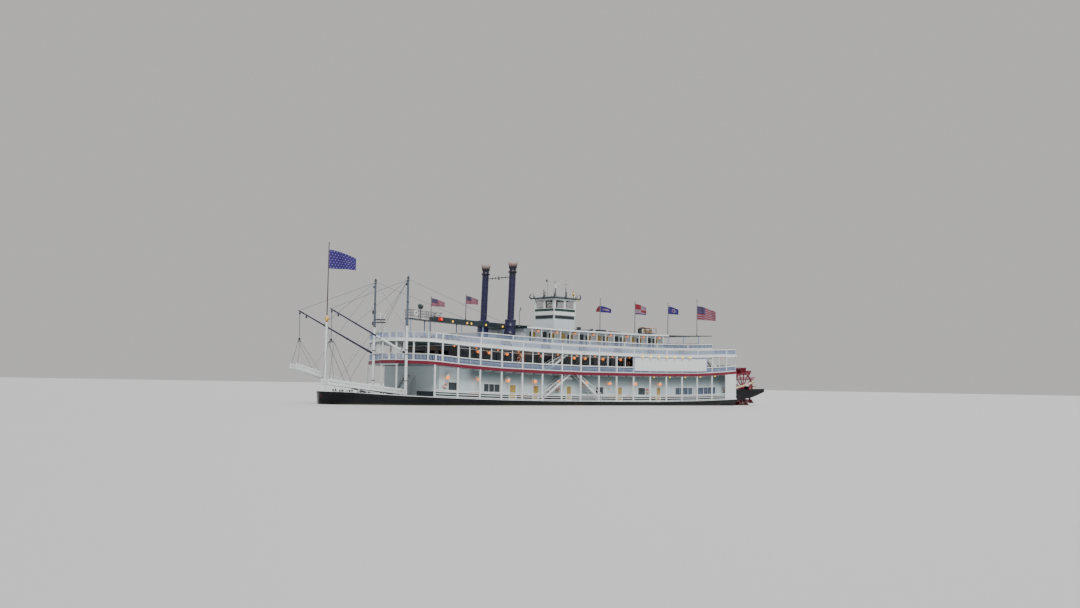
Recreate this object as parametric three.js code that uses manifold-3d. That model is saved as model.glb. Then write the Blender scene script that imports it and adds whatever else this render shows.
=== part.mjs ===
// A sternwheel excursion steamer, 80.8 m long, as a scale model at one tenth of its size.
// Millimetres of the model, +X to the bow, +Y to port, +Z up, origin on the hull's flat bottom.
import * as THREE from "three";
import { mergeVertices } from "three/addons/utils/BufferGeometryUtils.js";
import Module from "manifold-3d";

const wasm = await Module();
wasm.setup();

// Driving dimensions. "aft" is always the distance aft of the bow's tip.
const LENGTH = 8083;
const MIDSHIP = LENGTH / 2;
const GAP = 0.3;
const HALF_BEAM = 690;
const DECK_END = 7030;
const POST_PITCH = 352.3;
const FIRST_POST = 1141;
const POST = 16;
const RAIL_BAR = 9;
const HALF_TURN = Math.PI;
const FULL_TURN = 2 * Math.PI;
const QUARTER_TURN = Math.PI / 2;

// Tops of the three decks above the flat bottom: high at the bow, lowest aft of midship.
const SHEER = [
  // aft, main, second, third
  [0, 328, 742, 1006],
  [400, 310, 736, 998],
  [800, 290, 728, 988],
  [1200, 273, 694, 952],
  [1600, 262, 668, 930],
  [2200, 249, 642, 910],
  [2900, 239, 629, 892],
  [3600, 236, 623, 884],
  [4400, 234, 626, 888],
  [5200, 234, 634, 892],
  [6100, 248, 650, 914],
  [6600, 262, 674, 935],
  [7030, 276, 705, 952],
];
const MAIN = 1;
const SECOND = 2;
const THIRD = 3;

const MAIN_SLAB = 25;
const SECOND_SLAB = 40;
const THIRD_SLAB = 30;

// The upper decks end forward in a blunt round front, between and abaft the masts.
const FRONT = [
  // aft, half breadth
  [960, 150],
  [992, 262],
  [1030, 400],
  [1095, 600],
  [1150, 668],
];
const FRONT_SIDES = 1250;

// Raised middle deck, texas house and its roof, above the third deck.
const RAISE = 100;
const RAISED_FROM = 2010;
const RAISED_TO = 6680;
const RAISED_HALF = 505;
const ROOF_RISE = 305;
const ROOF_SLAB = 22;
const TEXAS_FROM = 2860;
const TEXAS_TO = 5660;
const TEXAS_HALF = 360;
const TEXAS_ROOF_HALF = 450;

// Houses: how far the walls stand from the middle, where they begin and end.
const WALL = 12;
const MAIN_HOUSE_HALF = 550;
const MAIN_HOUSE_FROM = 1310;
const MAIN_HOUSE_TO = 6960;
const SECOND_HOUSE_HALF = 520;
const SECOND_HOUSE_FROM = 1620;
const SECOND_HOUSE_TO = 6240;

// Wheel, its shaft and cranks.
const WHEEL_AFT = 7660;
const WHEEL_Z = 444;
const WHEEL_RADIUS = 330;
const WHEEL_HALF = 380;
const BOARDS = 14;
const FIRST_BOARD = THREE.MathUtils.degToRad(7.4);
const BOARD_DEPTH = 78;
const BOARD_THICKNESS = 9;
const SHAFT_RADIUS = 20;
const CRANK_RADIUS = 107;
const CRANK_PORT = THREE.MathUtils.degToRad(60);
const CRANK_STARBOARD = THREE.MathUtils.degToRad(150);
const BEAM_IN = 400;
const BEAM_OUT = 450;
const CRANK_IN = 460;
const CRANK_OUT = 480;
const PITMAN_IN = 485;
const PITMAN_OUT = 507;
const PITMAN_LENGTH = 492;
const PIN_RADIUS = 8;

// Colour, roughness and metalness of each finish.
const FINISH = {
  white: [0xe9ebe8, 0.55, 0],
  black: [0x14161a, 0.5, 0],
  crimson: [0x6d1622, 0.5, 0],
  deck: [0x8d8a84, 0.8, 0],
  teal: [0x16333c, 0.55, 0],
  navy: [0x1b2033, 0.45, 0.2],
  red: [0x8e1420, 0.5, 0],
  gold: [0xd9b24a, 0.35, 0.6],
  cream: [0xe0cfa0, 0.6, 0],
  steel: [0x4c5258, 0.45, 0.6],
  flag: [0x7c2434, 0.9, 0],
};

const boat = new THREE.Group();

const x = (aft) => MIDSHIP - aft;

function fromTable(table, aft, column) {
  const last = table.length - 1;
  const found = table.findIndex((row) => row[0] >= aft);
  const next = found < 0 ? last : Math.max(found, 1);
  const [a, b] = [table[next - 1], table[next]];
  const share = (aft - a[0]) / (b[0] - a[0]);
  return a[column] + (b[column] - a[column]) * share;
}

const deckTop = (deck, aft) => fromTable(SHEER, aft, deck);
const roofTop = (aft) => deckTop(THIRD, aft) + ROOF_RISE;

// Height of a foot that stands on a sloping deck and reaches a little way along it.
const seat = (topAt, aft, reach) => Math.max(topAt(aft - reach), topAt(aft + reach)) + GAP;

function add(name, geometry, finish) {
  const [color, roughness, metalness] = FINISH[finish];
  const material = new THREE.MeshStandardMaterial({ color, roughness, metalness });
  const mesh = new THREE.Mesh(geometry, material);
  mesh.name = name;
  boat.add(mesh);
  return mesh;
}

function geometryOf(positions, index) {
  let volume = 0;
  const corner = (k) => new THREE.Vector3().fromArray(positions, 3 * k);
  for (let k = 0; k < index.length; k += 3) {
    const [a, b, c] = [corner(index[k]), corner(index[k + 1]), corner(index[k + 2])];
    volume += a.dot(b.cross(c));
  }
  const outward = volume > 0 ? index : index.slice().reverse();
  const geometry = new THREE.BufferGeometry();
  geometry.setAttribute("position", new THREE.Float32BufferAttribute(positions, 3));
  geometry.setIndex(outward);
  return geometry;
}

// A sheet of cells, each solid or open, with two skins and an edge round every opening.
// point(i, j, side) places the corners. A closed sheet joins its last column to its first.
function sheet(columns, rows, isSolid, point, closed = false) {
  const positions = [];
  const index = [];
  const seen = new Map();
  const vertex = (i, j, side) => {
    const column = closed ? i % columns : i;
    const key = `${column} ${j} ${side}`;
    if (!seen.has(key)) {
      seen.set(key, positions.length / 3);
      positions.push(...point(column, j, side));
    }
    return seen.get(key);
  };
  const solid = (i, j) => {
    if (j < 0 || j >= rows) return false;
    if (closed) return isSolid((i + columns) % columns, j);
    return i >= 0 && i < columns && isSolid(i, j);
  };
  const face = (...corners) => {
    const [a, b, c, d] = corners.map((corner) => vertex(...corner));
    index.push(a, b, c, a, c, d);
  };
  for (let i = 0; i < columns; i += 1) {
    for (let j = 0; j < rows; j += 1) {
      if (!solid(i, j)) continue;
      face([i, j, 1], [i + 1, j, 1], [i + 1, j + 1, 1], [i, j + 1, 1]);
      face([i, j, 0], [i, j + 1, 0], [i + 1, j + 1, 0], [i + 1, j, 0]);
      if (!solid(i, j - 1)) face([i, j, 0], [i + 1, j, 0], [i + 1, j, 1], [i, j, 1]);
      if (!solid(i, j + 1)) face([i, j + 1, 1], [i + 1, j + 1, 1], [i + 1, j + 1, 0], [i, j + 1, 0]);
      if (!solid(i - 1, j)) face([i, j, 0], [i, j, 1], [i, j + 1, 1], [i, j + 1, 0]);
      if (!solid(i + 1, j)) face([i + 1, j, 1], [i + 1, j, 0], [i + 1, j + 1, 0], [i + 1, j + 1, 1]);
    }
  }
  return geometryOf(positions, index);
}

// A solid through a row of sections, each a ring of the same number of points.
function loft(sections) {
  const around = sections[0].length;
  const positions = sections.flat(2);
  const index = [];
  for (let i = 0; i + 1 < sections.length; i += 1) {
    for (let j = 0; j < around; j += 1) {
      const next = (j + 1) % around;
      const [a, b] = [i * around + j, i * around + next];
      index.push(a, a + around, b + around, a, b + around, b);
    }
  }
  const last = (sections.length - 1) * around;
  for (let j = 1; j + 1 < around; j += 1) {
    index.push(0, j, j + 1);
    index.push(last, last + j + 1, last + j);
  }
  return geometryOf(positions, index);
}

function toSolid(geometry) {
  const bare = geometry.clone();
  bare.deleteAttribute("normal");
  bare.deleteAttribute("uv");
  const merged = mergeVertices(bare, 1e-4);
  return new wasm.Manifold(new wasm.Mesh({
    numProp: 3,
    vertProperties: new Float32Array(merged.attributes.position.array),
    triVerts: new Uint32Array(merged.index.array),
  }));
}

function fromSolid(solid) {
  const mesh = solid.getMesh();
  const geometry = new THREE.BufferGeometry();
  geometry.setAttribute("position", new THREE.Float32BufferAttribute(mesh.vertProperties, 3));
  geometry.setIndex(Array.from(mesh.triVerts));
  return geometry;
}

const join = (geometries) => fromSolid(geometries.map(toSolid).reduce((a, b) => a.add(b)));
const cut = (geometry, tools) => {
  const kept = tools.map(toSolid).reduce((a, b) => a.subtract(b), toSolid(geometry));
  return fromSolid(kept);
};

// A box given by its lowest and highest corners.
function box(low, high) {
  const size = high.map((value, k) => value - low[k]);
  const centre = high.map((value, k) => (value + low[k]) / 2);
  return new THREE.BoxGeometry(...size).translate(...centre);
}

// A round bar between two points, its radius going from one value to another.
function rod(from, to, radius, endRadius = radius, sides = 10) {
  const [a, b] = [new THREE.Vector3(...from), new THREE.Vector3(...to)];
  const along = b.clone().sub(a);
  const up = new THREE.Vector3(0, 1, 0);
  const turn = new THREE.Quaternion().setFromUnitVectors(up, along.clone().normalize());
  const bar = new THREE.CylinderGeometry(endRadius, radius, along.length(), sides);
  const middle = a.add(b).multiplyScalar(0.5);
  return bar.applyQuaternion(turn).translate(middle.x, middle.y, middle.z);
}

// A plate whose outline lies in the boat's long upright plane, from one Y to another.
function sidePlate(outline, from, to) {
  const shape = new THREE.Shape(outline.map(([aft, z]) => new THREE.Vector2(x(aft), z)));
  const plate = new THREE.ExtrudeGeometry(shape, { depth: to - from, bevelEnabled: false });
  return plate.rotateX(QUARTER_TURN).translate(0, to, 0);
}

const sheerStations = (from, to) => SHEER.map((row) => row[0]).filter((aft) => aft > from && aft < to);

// A deck through stations of [aft, half breadth], with its top on topAt(aft).
function deck(stations, topAt, thickness) {
  const height = (aft, side) => topAt(aft) - (side ? 0 : thickness);
  return sheet(stations.length - 1, 1, () => true, (i, j, side) => {
    const [aft, half] = stations[i];
    return [x(aft), j ? half : -half, height(aft, side)];
  });
}

// A wall along the boat at y = side * half, with openings of [from, to, sill, head].
function longWall({ side, half, from, to, floor, ceiling, openings }) {
  const edges = openings.flatMap((row) => [row[0], row[1]]);
  const columns = [...new Set([from, ...sheerStations(from, to), ...edges, to])].sort((a, b) => a - b);
  const heights = [...new Set(openings.flatMap((row) => [row[2], row[3]]))].sort((a, b) => a - b);
  const rows = heights.length + 1;
  const isOpen = (i, j) => openings.some(([start, end, sill, head]) => {
    const inside = columns[i] >= start && columns[i + 1] <= end;
    return inside && j > 0 && j < rows && heights[j - 1] >= sill && heights[j] <= head;
  });
  const level = (aft, j) => {
    if (j === 0) return floor(aft) + GAP;
    if (j === rows) return ceiling(aft) - GAP;
    return floor(aft) + heights[j - 1];
  };
  return sheet(columns.length - 1, rows, (i, j) => !isOpen(i, j), (i, j, skin) => {
    const aft = columns[i];
    return [x(aft), side * (half - (skin ? 0 : WALL)), level(aft, j)];
  });
}

// A wall across the boat with its forward face at aft, openings of [from y, to y, sill, head].
function crossWall({ aft, half, floor, ceiling, openings }) {
  const edges = openings.flatMap((row) => [row[0], row[1]]);
  const columns = [...new Set([-half, ...edges, half])].sort((a, b) => a - b);
  const heights = [...new Set(openings.flatMap((row) => [row[2], row[3]]))].sort((a, b) => a - b);
  const rows = heights.length + 1;
  const isOpen = (i, j) => openings.some(([start, end, sill, head]) => {
    const inside = columns[i] >= start && columns[i + 1] <= end;
    return inside && j > 0 && j < rows && heights[j - 1] >= sill && heights[j] <= head;
  });
  const level = (place, j) => {
    if (j === 0) return floor(place) + GAP;
    if (j === rows) return ceiling(place) - GAP;
    return floor(place) + heights[j - 1];
  };
  return sheet(columns.length - 1, rows, (i, j) => !isOpen(i, j), (i, j, skin) => {
    const place = aft + (skin ? 0 : WALL);
    return [x(place), columns[i], level(place, j)];
  });
}

// A place on a path of [aft, y] points, a distance along it, pushed out sideways.
function alongPath(path, distance, sideways) {
  let left = distance;
  for (let k = 0; k + 1 < path.length; k += 1) {
    const [a, b] = [path[k], path[k + 1]];
    const length = Math.hypot(b[0] - a[0], b[1] - a[1]);
    if (left <= length || k + 2 === path.length) {
      const share = left / length;
      const [run, rise] = [(b[0] - a[0]) / length, (b[1] - a[1]) / length];
      return [a[0] + (b[0] - a[0]) * share - rise * sideways, a[1] + (b[1] - a[1]) * share + run * sideways];
    }
    left -= length;
  }
  return path[0];
}

// A railing with posts at the corners of its path and at the post stations of its long side.
// bars lists the top of each bar, the first of which lies on the deck where footBar is true.
// A post goes up to the ceiling where postsUp(aft, y) is true.
function railing({ path, side, floor, ceiling, bars, footBar, postsUp, stations }) {
  const posts = [POST / 2];
  let run = 0;
  for (let k = 0; k + 1 < path.length; k += 1) {
    const [a, b] = [path[k], path[k + 1]];
    const length = Math.hypot(b[0] - a[0], b[1] - a[1]);
    const [first, last] = [a[0] + 3 * POST, b[0] - 3 * POST];
    const inside = stations.filter((aft) => k === longestRun(path) && aft > first && aft < last);
    posts.push(...inside.map((aft) => run + (aft - a[0]) * length / (b[0] - a[0])));
    run += length;
    posts.push(k + 2 === path.length ? run - POST / 2 : run);
  }
  const columns = posts.flatMap((post) => [post - POST / 2, post + POST / 2]);
  const edges = bars.flatMap((height) => [height - RAIL_BAR, height]);
  const levels = footBar ? edges.slice(1) : edges;
  const rows = levels.length + (ceiling ? 1 : 0);
  const isRail = (j) => j % 2 === (footBar ? 0 : 1) && j < levels.length;
  const solid = (i, j) => {
    if (i % 2 === 1) return isRail(j);
    const [aft, y] = alongPath(path, columns[i] + POST / 2, 0);
    return j < levels.length || postsUp(aft, y);
  };
  return sheet(columns.length - 1, rows, solid, (i, j, skin) => {
    const [aft, y] = alongPath(path, columns[i], skin ? POST / 2 : -POST / 2);
    const base = floor(aft);
    const height = () => {
      if (j === 0) return base + GAP;
      if (j > levels.length) return ceiling(aft) - GAP;
      return base + levels[j - 1];
    };
    return [x(aft), side * y, height()];
  });
}

const longestRun = (path) => {
  const lengths = path.slice(1).map((point, k) => Math.hypot(point[0] - path[k][0], point[1] - path[k][1]));
  return lengths.indexOf(Math.max(...lengths));
};

const everyOther = (list) => list.filter((_, k) => k % 2 === 1);

const postStations = (from, to) => {
  const all = Array.from({ length: 17 }, (_, k) => FIRST_POST + k * POST_PITCH);
  return all.filter((aft) => aft > from && aft < to);
};

// Hull: a full model bow, upright sides, and a stern that rises to a flat shelf over the rudders.
const HULL_SECTIONS = [
  // aft, half breadth at the deck, half breadth of the bottom, bottom height
  [0, 14, 6, 60],
  [60, 150, 70, 20],
  [180, 265, 165, 0],
  [400, 375, 290, 0],
  [700, 495, 420, 0],
  [950, 630, 520, 0],
  [1110, 690, 570, 0],
  [1700, 690, 650, 0],
  [6150, 690, 650, 0],
  [6660, 690, 620, 148],
  [7030, 690, 600, 148],
];
const CHINE = 70;
const CHINE_SHARE = 0.7;

function hullSection([aft, half, bottomHalf, bottom]) {
  const top = deckTop(MAIN, aft) - MAIN_SLAB - GAP;
  const chine = bottom + CHINE;
  const chineHalf = bottomHalf + (half - bottomHalf) * CHINE_SHARE;
  return [
    [x(aft), half, top], [x(aft), chineHalf, chine], [x(aft), bottomHalf, bottom],
    [x(aft), -bottomHalf, bottom], [x(aft), -chineHalf, chine], [x(aft), -half, top],
  ];
}

function withSheer(sections) {
  const missing = SHEER.map((row) => row[0]).filter((aft) => !sections.some((row) => row[0] === aft));
  const values = sections[0].slice(1);
  const between = missing.map((aft) => [aft, ...values.map((_, k) => fromTable(sections, aft, k + 1))]);
  return [...sections, ...between].sort((a, b) => a[0] - b[0]);
}

const mainOutline = withSheer(HULL_SECTIONS).map(([aft, half]) => [aft, half]);
add("hull", loft(withSheer(HULL_SECTIONS).map(hullSection)), "black");
add("main_deck", deck(mainOutline, (aft) => deckTop(MAIN, aft), MAIN_SLAB), "black");

// The second and third decks share one outline.
const frontTable = [...FRONT, [FRONT_SIDES, HALF_BEAM]];
const upperOutline = [
  ...frontTable,
  ...sheerStations(FRONT[0][0], FRONT_SIDES).map((aft) => [aft, fromTable(frontTable, aft, 1)]),
  ...sheerStations(FRONT_SIDES, DECK_END).map((aft) => [aft, HALF_BEAM]),
  [DECK_END, HALF_BEAM],
].sort((a, b) => a[0] - b[0]);
add("second_deck", deck(upperOutline, (aft) => deckTop(SECOND, aft), SECOND_SLAB), "crimson");
add("third_deck", deck(upperOutline, (aft) => deckTop(THIRD, aft), THIRD_SLAB), "white");

// Main deck house. Rows are [from, to, sill, head] above the deck.
const mainFloor = (aft) => deckTop(MAIN, aft);
const mainCeiling = (aft) => deckTop(SECOND, aft) - SECOND_SLAB;
const SILL = 85;
const STEP = 12;
const HEAD = 195;
const MAIN_OPENINGS = [
  [1450, 1610, SILL, HEAD],
  [2015, 2285, SILL, HEAD],
  [2450, 2560, STEP, HEAD],
  [2860, 2960, STEP, HEAD],
  [3470, 3560, STEP, HEAD],
  [4030, 4190, SILL, HEAD],
  [4480, 4570, STEP, HEAD],
  [4900, 5060, SILL, HEAD],
  [5300, 5390, STEP, HEAD],
  [5720, 6120, SILL, HEAD],
  [6200, 6680, SILL, HEAD],
];
for (const [name, side] of [["port", 1], ["starboard", -1]]) {
  const wall = longWall({
    side,
    half: MAIN_HOUSE_HALF,
    from: MAIN_HOUSE_FROM,
    to: MAIN_HOUSE_TO,
    floor: mainFloor,
    ceiling: mainCeiling,
    openings: MAIN_OPENINGS,
  });
  add(`main_house_${name}_wall`, wall, "white");
}
const BOW_DOOR = [[-110, 110, STEP, 260]];
const STERN_DOORS = [[-515, -435, 105, 260], [-90, 90, STEP, 260], [435, 515, 105, 260]];
const mainInside = MAIN_HOUSE_HALF - WALL - GAP;
const mainCross = { half: mainInside, floor: mainFloor, ceiling: mainCeiling };
add("main_house_bow_wall", crossWall({ aft: MAIN_HOUSE_FROM, openings: BOW_DOOR, ...mainCross }), "white");
const sternWallAft = MAIN_HOUSE_TO - WALL;
add("main_house_stern_wall", crossWall({ aft: sternWallAft, openings: STERN_DOORS, ...mainCross }), "white");

// Boiler and the two engines, each as one block.
const BOILER = { from: 3700, to: 4700, half: 200, height: 250 };
const slopedBlock = (from, to, low, high, floor, height) => loft(
  [from, ...sheerStations(from, to), to].map((aft) => {
    const z = floor(aft) + GAP;
    const top = floor(from) + height;
    return [[x(aft), low, z], [x(aft), high, z], [x(aft), high, top], [x(aft), low, top]];
  }));
const boilers = slopedBlock(BOILER.from, BOILER.to, -BOILER.half, BOILER.half, mainFloor, BOILER.height);
add("boilers", boilers, "steel");
const ENGINE = { from: 6150, to: 6850, top: WHEEL_Z + 40 };
for (const [name, side] of [["port", 1], ["starboard", -1]]) {
  const edges = [side * CRANK_IN, side * PITMAN_OUT].sort((a, b) => a - b);
  const height = ENGINE.top - mainFloor(ENGINE.from);
  const engine = slopedBlock(ENGINE.from, ENGINE.to, ...edges, mainFloor, height);
  const reach = side > 0 ? CRANK_PORT : CRANK_STARBOARD;
  const drop = CRANK_RADIUS * Math.sin(reach);
  const crosshead = WHEEL_AFT + CRANK_RADIUS * Math.cos(reach) - Math.sqrt(PITMAN_LENGTH ** 2 - drop ** 2);
  const [inner, outer] = [side * (CRANK_IN + 2), side * CRANK_OUT].sort((a, b) => a - b);
  const guide = box([x(crosshead + 20), inner, WHEEL_Z - 14], [x(ENGINE.to - 5), outer, WHEEL_Z + 14]);
  add(`${name}_engine`, join([engine, guide]), "steel");
}

// Railings of the main deck: bars between the posts that carry the deck above.
const EDGE = 4;
const inset = (half) => half - POST / 2 - EDGE;
const mainRailPath = [[FIRST_POST - POST / 2, inset(HALF_BEAM)], [DECK_END - POST, inset(HALF_BEAM)]];
for (const [name, side] of [["port", 1], ["starboard", -1]]) {
  const rail = railing({
    path: mainRailPath,
    side,
    floor: mainFloor,
    ceiling: mainCeiling,
    bars: [50, 95],
    footBar: false,
    postsUp: () => true,
    stations: postStations(FRONT_SIDES, DECK_END),
  });
  add(`main_deck_${name}_posts`, rail, "white");
}

// Two posts and a cross beam carry the middle of the round front.
const PORTAL = { aft: 975, y: 150, reach: 175, depth: 14 };
const portalTop = mainCeiling(PORTAL.aft + POST / 2) - GAP;
const portalEdges = [x(PORTAL.aft + POST / 2), x(PORTAL.aft - POST / 2)];
add("front_portal", join([
  box([portalEdges[0], -PORTAL.reach, portalTop - PORTAL.depth], [portalEdges[1], PORTAL.reach, portalTop]),
  ...[1, -1].map((side) => box(
    [portalEdges[0], side * PORTAL.y - POST / 2, seat(mainFloor, PORTAL.aft, POST / 2)],
    [portalEdges[1], side * PORTAL.y + POST / 2, portalTop])),
]), "white");

// Railings of the upper decks, each side from the middle of the front to the middle of the stern.
const FRONT_INSET = [15, 12];
const frontRail = FRONT.map(([aft, half]) => [aft + FRONT_INSET[0], half - FRONT_INSET[1]]);
const SOFT_CORNER = frontRail.at(-1)[0];
const upperRailPath = [
  [frontRail[0][0], GAP],
  ...frontRail,
  [FRONT_SIDES, inset(HALF_BEAM)],
  [DECK_END - POST, inset(HALF_BEAM)],
  [DECK_END - POST, GAP],
];
const secondCeiling = (aft) => deckTop(THIRD, aft) - THIRD_SLAB;
for (const [name, side] of [["port", 1], ["starboard", -1]]) {
  const shared = { path: upperRailPath, side, bars: [12, 84], footBar: true };
  const second = railing({
    ...shared,
    floor: (aft) => deckTop(SECOND, aft),
    ceiling: secondCeiling,
    postsUp: (aft, y) => Math.abs(aft - SOFT_CORNER) > POST && (y > POST || aft > FRONT_SIDES),
    stations: postStations(FRONT_SIDES, DECK_END),
  });
  add(`second_deck_${name}_posts`, second, "white");
  const third = railing({
    ...shared,
    floor: (aft) => deckTop(THIRD, aft),
    postsUp: () => false,
    stations: everyOther(postStations(FRONT_SIDES, DECK_END)),
  });
  add(`third_deck_${name}_rail`, third, "white");
}

// Second deck house.
const secondFloor = (aft) => deckTop(SECOND, aft);
const SECOND_OPENINGS = Array.from({ length: 12 }, (_, k) => {
  const from = 1700 + k * POST_PITCH;
  return [from, from + 200, STEP, 178];
});
const secondCross = { half: SECOND_HOUSE_HALF - WALL - GAP, floor: secondFloor, ceiling: secondCeiling };
for (const [name, side] of [["port", 1], ["starboard", -1]]) {
  const wall = longWall({
    side,
    half: SECOND_HOUSE_HALF,
    from: SECOND_HOUSE_FROM,
    to: SECOND_HOUSE_TO,
    floor: secondFloor,
    ceiling: secondCeiling,
    openings: SECOND_OPENINGS,
  });
  add(`second_house_${name}_wall`, wall, "white");
}
const SECOND_BOW_OPENINGS = [[-330, -150, STEP, 178], [-60, 60, STEP, 178], [150, 330, STEP, 178]];
add("second_house_bow_wall", crossWall({
  aft: SECOND_HOUSE_FROM, openings: SECOND_BOW_OPENINGS, ...secondCross,
}), "white");
add("second_house_stern_wall", crossWall({
  aft: SECOND_HOUSE_TO - WALL, openings: SECOND_BOW_OPENINGS, ...secondCross,
}), "white");

// Raised middle deck, its railings, the texas house and its roof.
const thirdFloor = (aft) => deckTop(THIRD, aft);
const raisedTop = (aft) => thirdFloor(aft) + RAISE;
const raisedStations = [RAISED_FROM, ...sheerStations(RAISED_FROM, RAISED_TO), RAISED_TO];
add("raised_deck", deck(raisedStations.map((aft) => [aft, RAISED_HALF]), raisedTop, RAISE - GAP), "deck");
const raisedPath = [
  [RAISED_FROM + POST, GAP],
  [RAISED_FROM + POST, inset(RAISED_HALF)],
  [RAISED_TO - POST, inset(RAISED_HALF)],
  [RAISED_TO - POST, GAP],
];
for (const [name, side] of [["port", 1], ["starboard", -1]]) {
  const rail = railing({
    path: raisedPath,
    side,
    floor: raisedTop,
    bars: [12, 66],
    footBar: true,
    postsUp: () => false,
    stations: everyOther(postStations(RAISED_FROM, RAISED_TO)),
  });
  add(`raised_deck_${name}_rail`, rail, "white");
}
const TEXAS_OPENINGS = Array.from({ length: 8 }, (_, k) => {
  const from = TEXAS_FROM + 90 + k * POST_PITCH;
  return [from, from + 120, STEP, 150];
});
const texasCeiling = (aft) => roofTop(aft) - ROOF_SLAB;
for (const [name, side] of [["port", 1], ["starboard", -1]]) {
  const wall = longWall({
    side,
    half: TEXAS_HALF,
    from: TEXAS_FROM,
    to: TEXAS_TO,
    floor: raisedTop,
    ceiling: texasCeiling,
    openings: TEXAS_OPENINGS,
  });
  add(`texas_${name}_wall`, wall, "white");
}
const texasCross = { half: TEXAS_HALF - WALL - GAP, floor: raisedTop, ceiling: texasCeiling };
const TEXAS_DOOR = [[-60, 60, STEP, 150]];
add("texas_bow_wall", crossWall({ aft: TEXAS_FROM, openings: TEXAS_DOOR, ...texasCross }), "white");
add("texas_stern_wall", crossWall({ aft: TEXAS_TO - WALL, openings: TEXAS_DOOR, ...texasCross }), "white");
const ROOF_FROM = TEXAS_FROM - 25;
const ROOF_TO = TEXAS_TO + 30;
const roofStations = [ROOF_FROM, ...sheerStations(ROOF_FROM, ROOF_TO), ROOF_TO];
add("texas_roof", deck(roofStations.map((aft) => [aft, TEXAS_ROOF_HALF]), roofTop, ROOF_SLAB), "white");

// A canopy is a roof slab with a row of thin legs down each side.
const LEG = 10;
function canopy({ from, to, half, top, thickness, floor, posts }) {
  const stations = [from, ...sheerStations(from, to), to];
  const roof = deck(stations.map((aft) => [aft, half]), top, thickness);
  const legs = posts.flatMap((aft) => [1, -1].map((side) => {
    const y = side * (half - LEG);
    const foot = [x(aft) - LEG / 2, y - LEG / 2, seat(floor, aft, LEG / 2)];
    return box(foot, [x(aft) + LEG / 2, y + LEG / 2, top(aft) - thickness / 2]);
  }));
  return join([roof, ...legs]);
}
const overThird = (rise) => (aft) => thirdFloor(aft) + rise;

// The bridge walk runs forward from the texas roof, between the stacks, to a thinner lookout
// platform. Its deep sides end flush on the roof.
const WALK = { from: 1620, to: 3270, half: 60, rise: 345, depth: 65 };
const LOOKOUT = { from: 1236, rise: 287, depth: 10 };
const walkFloor = (aft) => (aft > RAISED_FROM ? raisedTop(aft) : thirdFloor(aft));
const lookout = canopy({
  from: LOOKOUT.from,
  to: WALK.from + LEG,
  half: WALK.half,
  top: overThird(LOOKOUT.rise),
  thickness: LOOKOUT.depth,
  floor: walkFloor,
  posts: [LOOKOUT.from + LEG, 1541],
});
const openWalk = canopy({
  from: WALK.from,
  to: ROOF_FROM - GAP,
  half: WALK.half,
  top: overThird(WALK.rise),
  thickness: WALK.depth,
  floor: walkFloor,
  posts: [2060, 2420, 2780],
});
const onRoof = [ROOF_FROM - LEG, ...sheerStations(ROOF_FROM, WALK.to), WALK.to];
const roofWalk = deck(
  onRoof.map((aft) => [aft, WALK.half]), overThird(WALK.rise), WALK.rise - ROOF_RISE - GAP);
add("bridge_walk", join([lookout, openWalk, roofWalk]), "teal");
add("aft_canopy", canopy({
  from: ROOF_TO + 10,
  to: 6740,
  half: 430,
  top: overThird(300),
  thickness: 12,
  floor: raisedTop,
  posts: postStations(ROOF_TO + 20, RAISED_TO),
}), "teal");

// Pilothouse on the texas roof: four walls in one ring with a row of large windows.
const PILOT = { from: 3574, to: 3982, half: 188, wall: 8 };
const pilotBase = Math.max(roofTop(PILOT.from), roofTop(PILOT.to));
const PILOT_LEVELS = [0, 162, 200, 298, 415, 436];
const PILOT_WINDOW_ROWS = [1, 3];
const pilotCorners = [
  [PILOT.from, -PILOT.half], [PILOT.from, PILOT.half], [PILOT.to, PILOT.half], [PILOT.to, -PILOT.half],
];
const pilotInner = [
  [PILOT.from + PILOT.wall, -PILOT.half + PILOT.wall], [PILOT.from + PILOT.wall, PILOT.half - PILOT.wall],
  [PILOT.to - PILOT.wall, PILOT.half - PILOT.wall], [PILOT.to - PILOT.wall, -PILOT.half + PILOT.wall],
];
const PILOT_SHARES = [0, 0.06, 0.47, 0.53, 0.94];
const pilotColumns = 4 * PILOT_SHARES.length;
const pilotPoint = (i, j, skin) => {
  const wall = Math.floor(i / PILOT_SHARES.length);
  const share = PILOT_SHARES[i % PILOT_SHARES.length];
  const corners = skin ? pilotCorners : pilotInner;
  const [a, b] = [corners[wall], corners[(wall + 1) % 4]];
  const aft = a[0] + (b[0] - a[0]) * share;
  const floor = j === 0 ? roofTop(aft) + GAP : pilotBase + PILOT_LEVELS[j];
  return [x(aft), a[1] + (b[1] - a[1]) * share, floor];
};
const pilotSolid = (i, j) => !(PILOT_WINDOW_ROWS.includes(j) && [1, 3].includes(i % PILOT_SHARES.length));
add("pilothouse", sheet(pilotColumns, PILOT_LEVELS.length - 1, pilotSolid, pilotPoint, true), "white");
const EAVE = 34;
const EAVE_DEPTH = 12;
const ROOF_PEAK = 42;
const pilotRoofLow = pilotBase + PILOT_LEVELS.at(-1) + GAP;
const rectangle = (grow, z) => [
  [x(PILOT.from - grow), PILOT.half + grow, z], [x(PILOT.to + grow), PILOT.half + grow, z],
  [x(PILOT.to + grow), -PILOT.half - grow, z], [x(PILOT.from - grow), -PILOT.half - grow, z],
];
const PILOT_MIDDLE = (PILOT.from + PILOT.to) / 2;
const finial = (aft, y, base, height) => rod([x(aft), y, base], [x(aft), y, base + height], 7, 1.5, 8);
const pilotRoof = loft([
  rectangle(EAVE, pilotRoofLow),
  rectangle(EAVE, pilotRoofLow + EAVE_DEPTH),
  rectangle(-120, pilotRoofLow + ROOF_PEAK),
]);
const CORNER = EAVE / 2;
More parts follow.
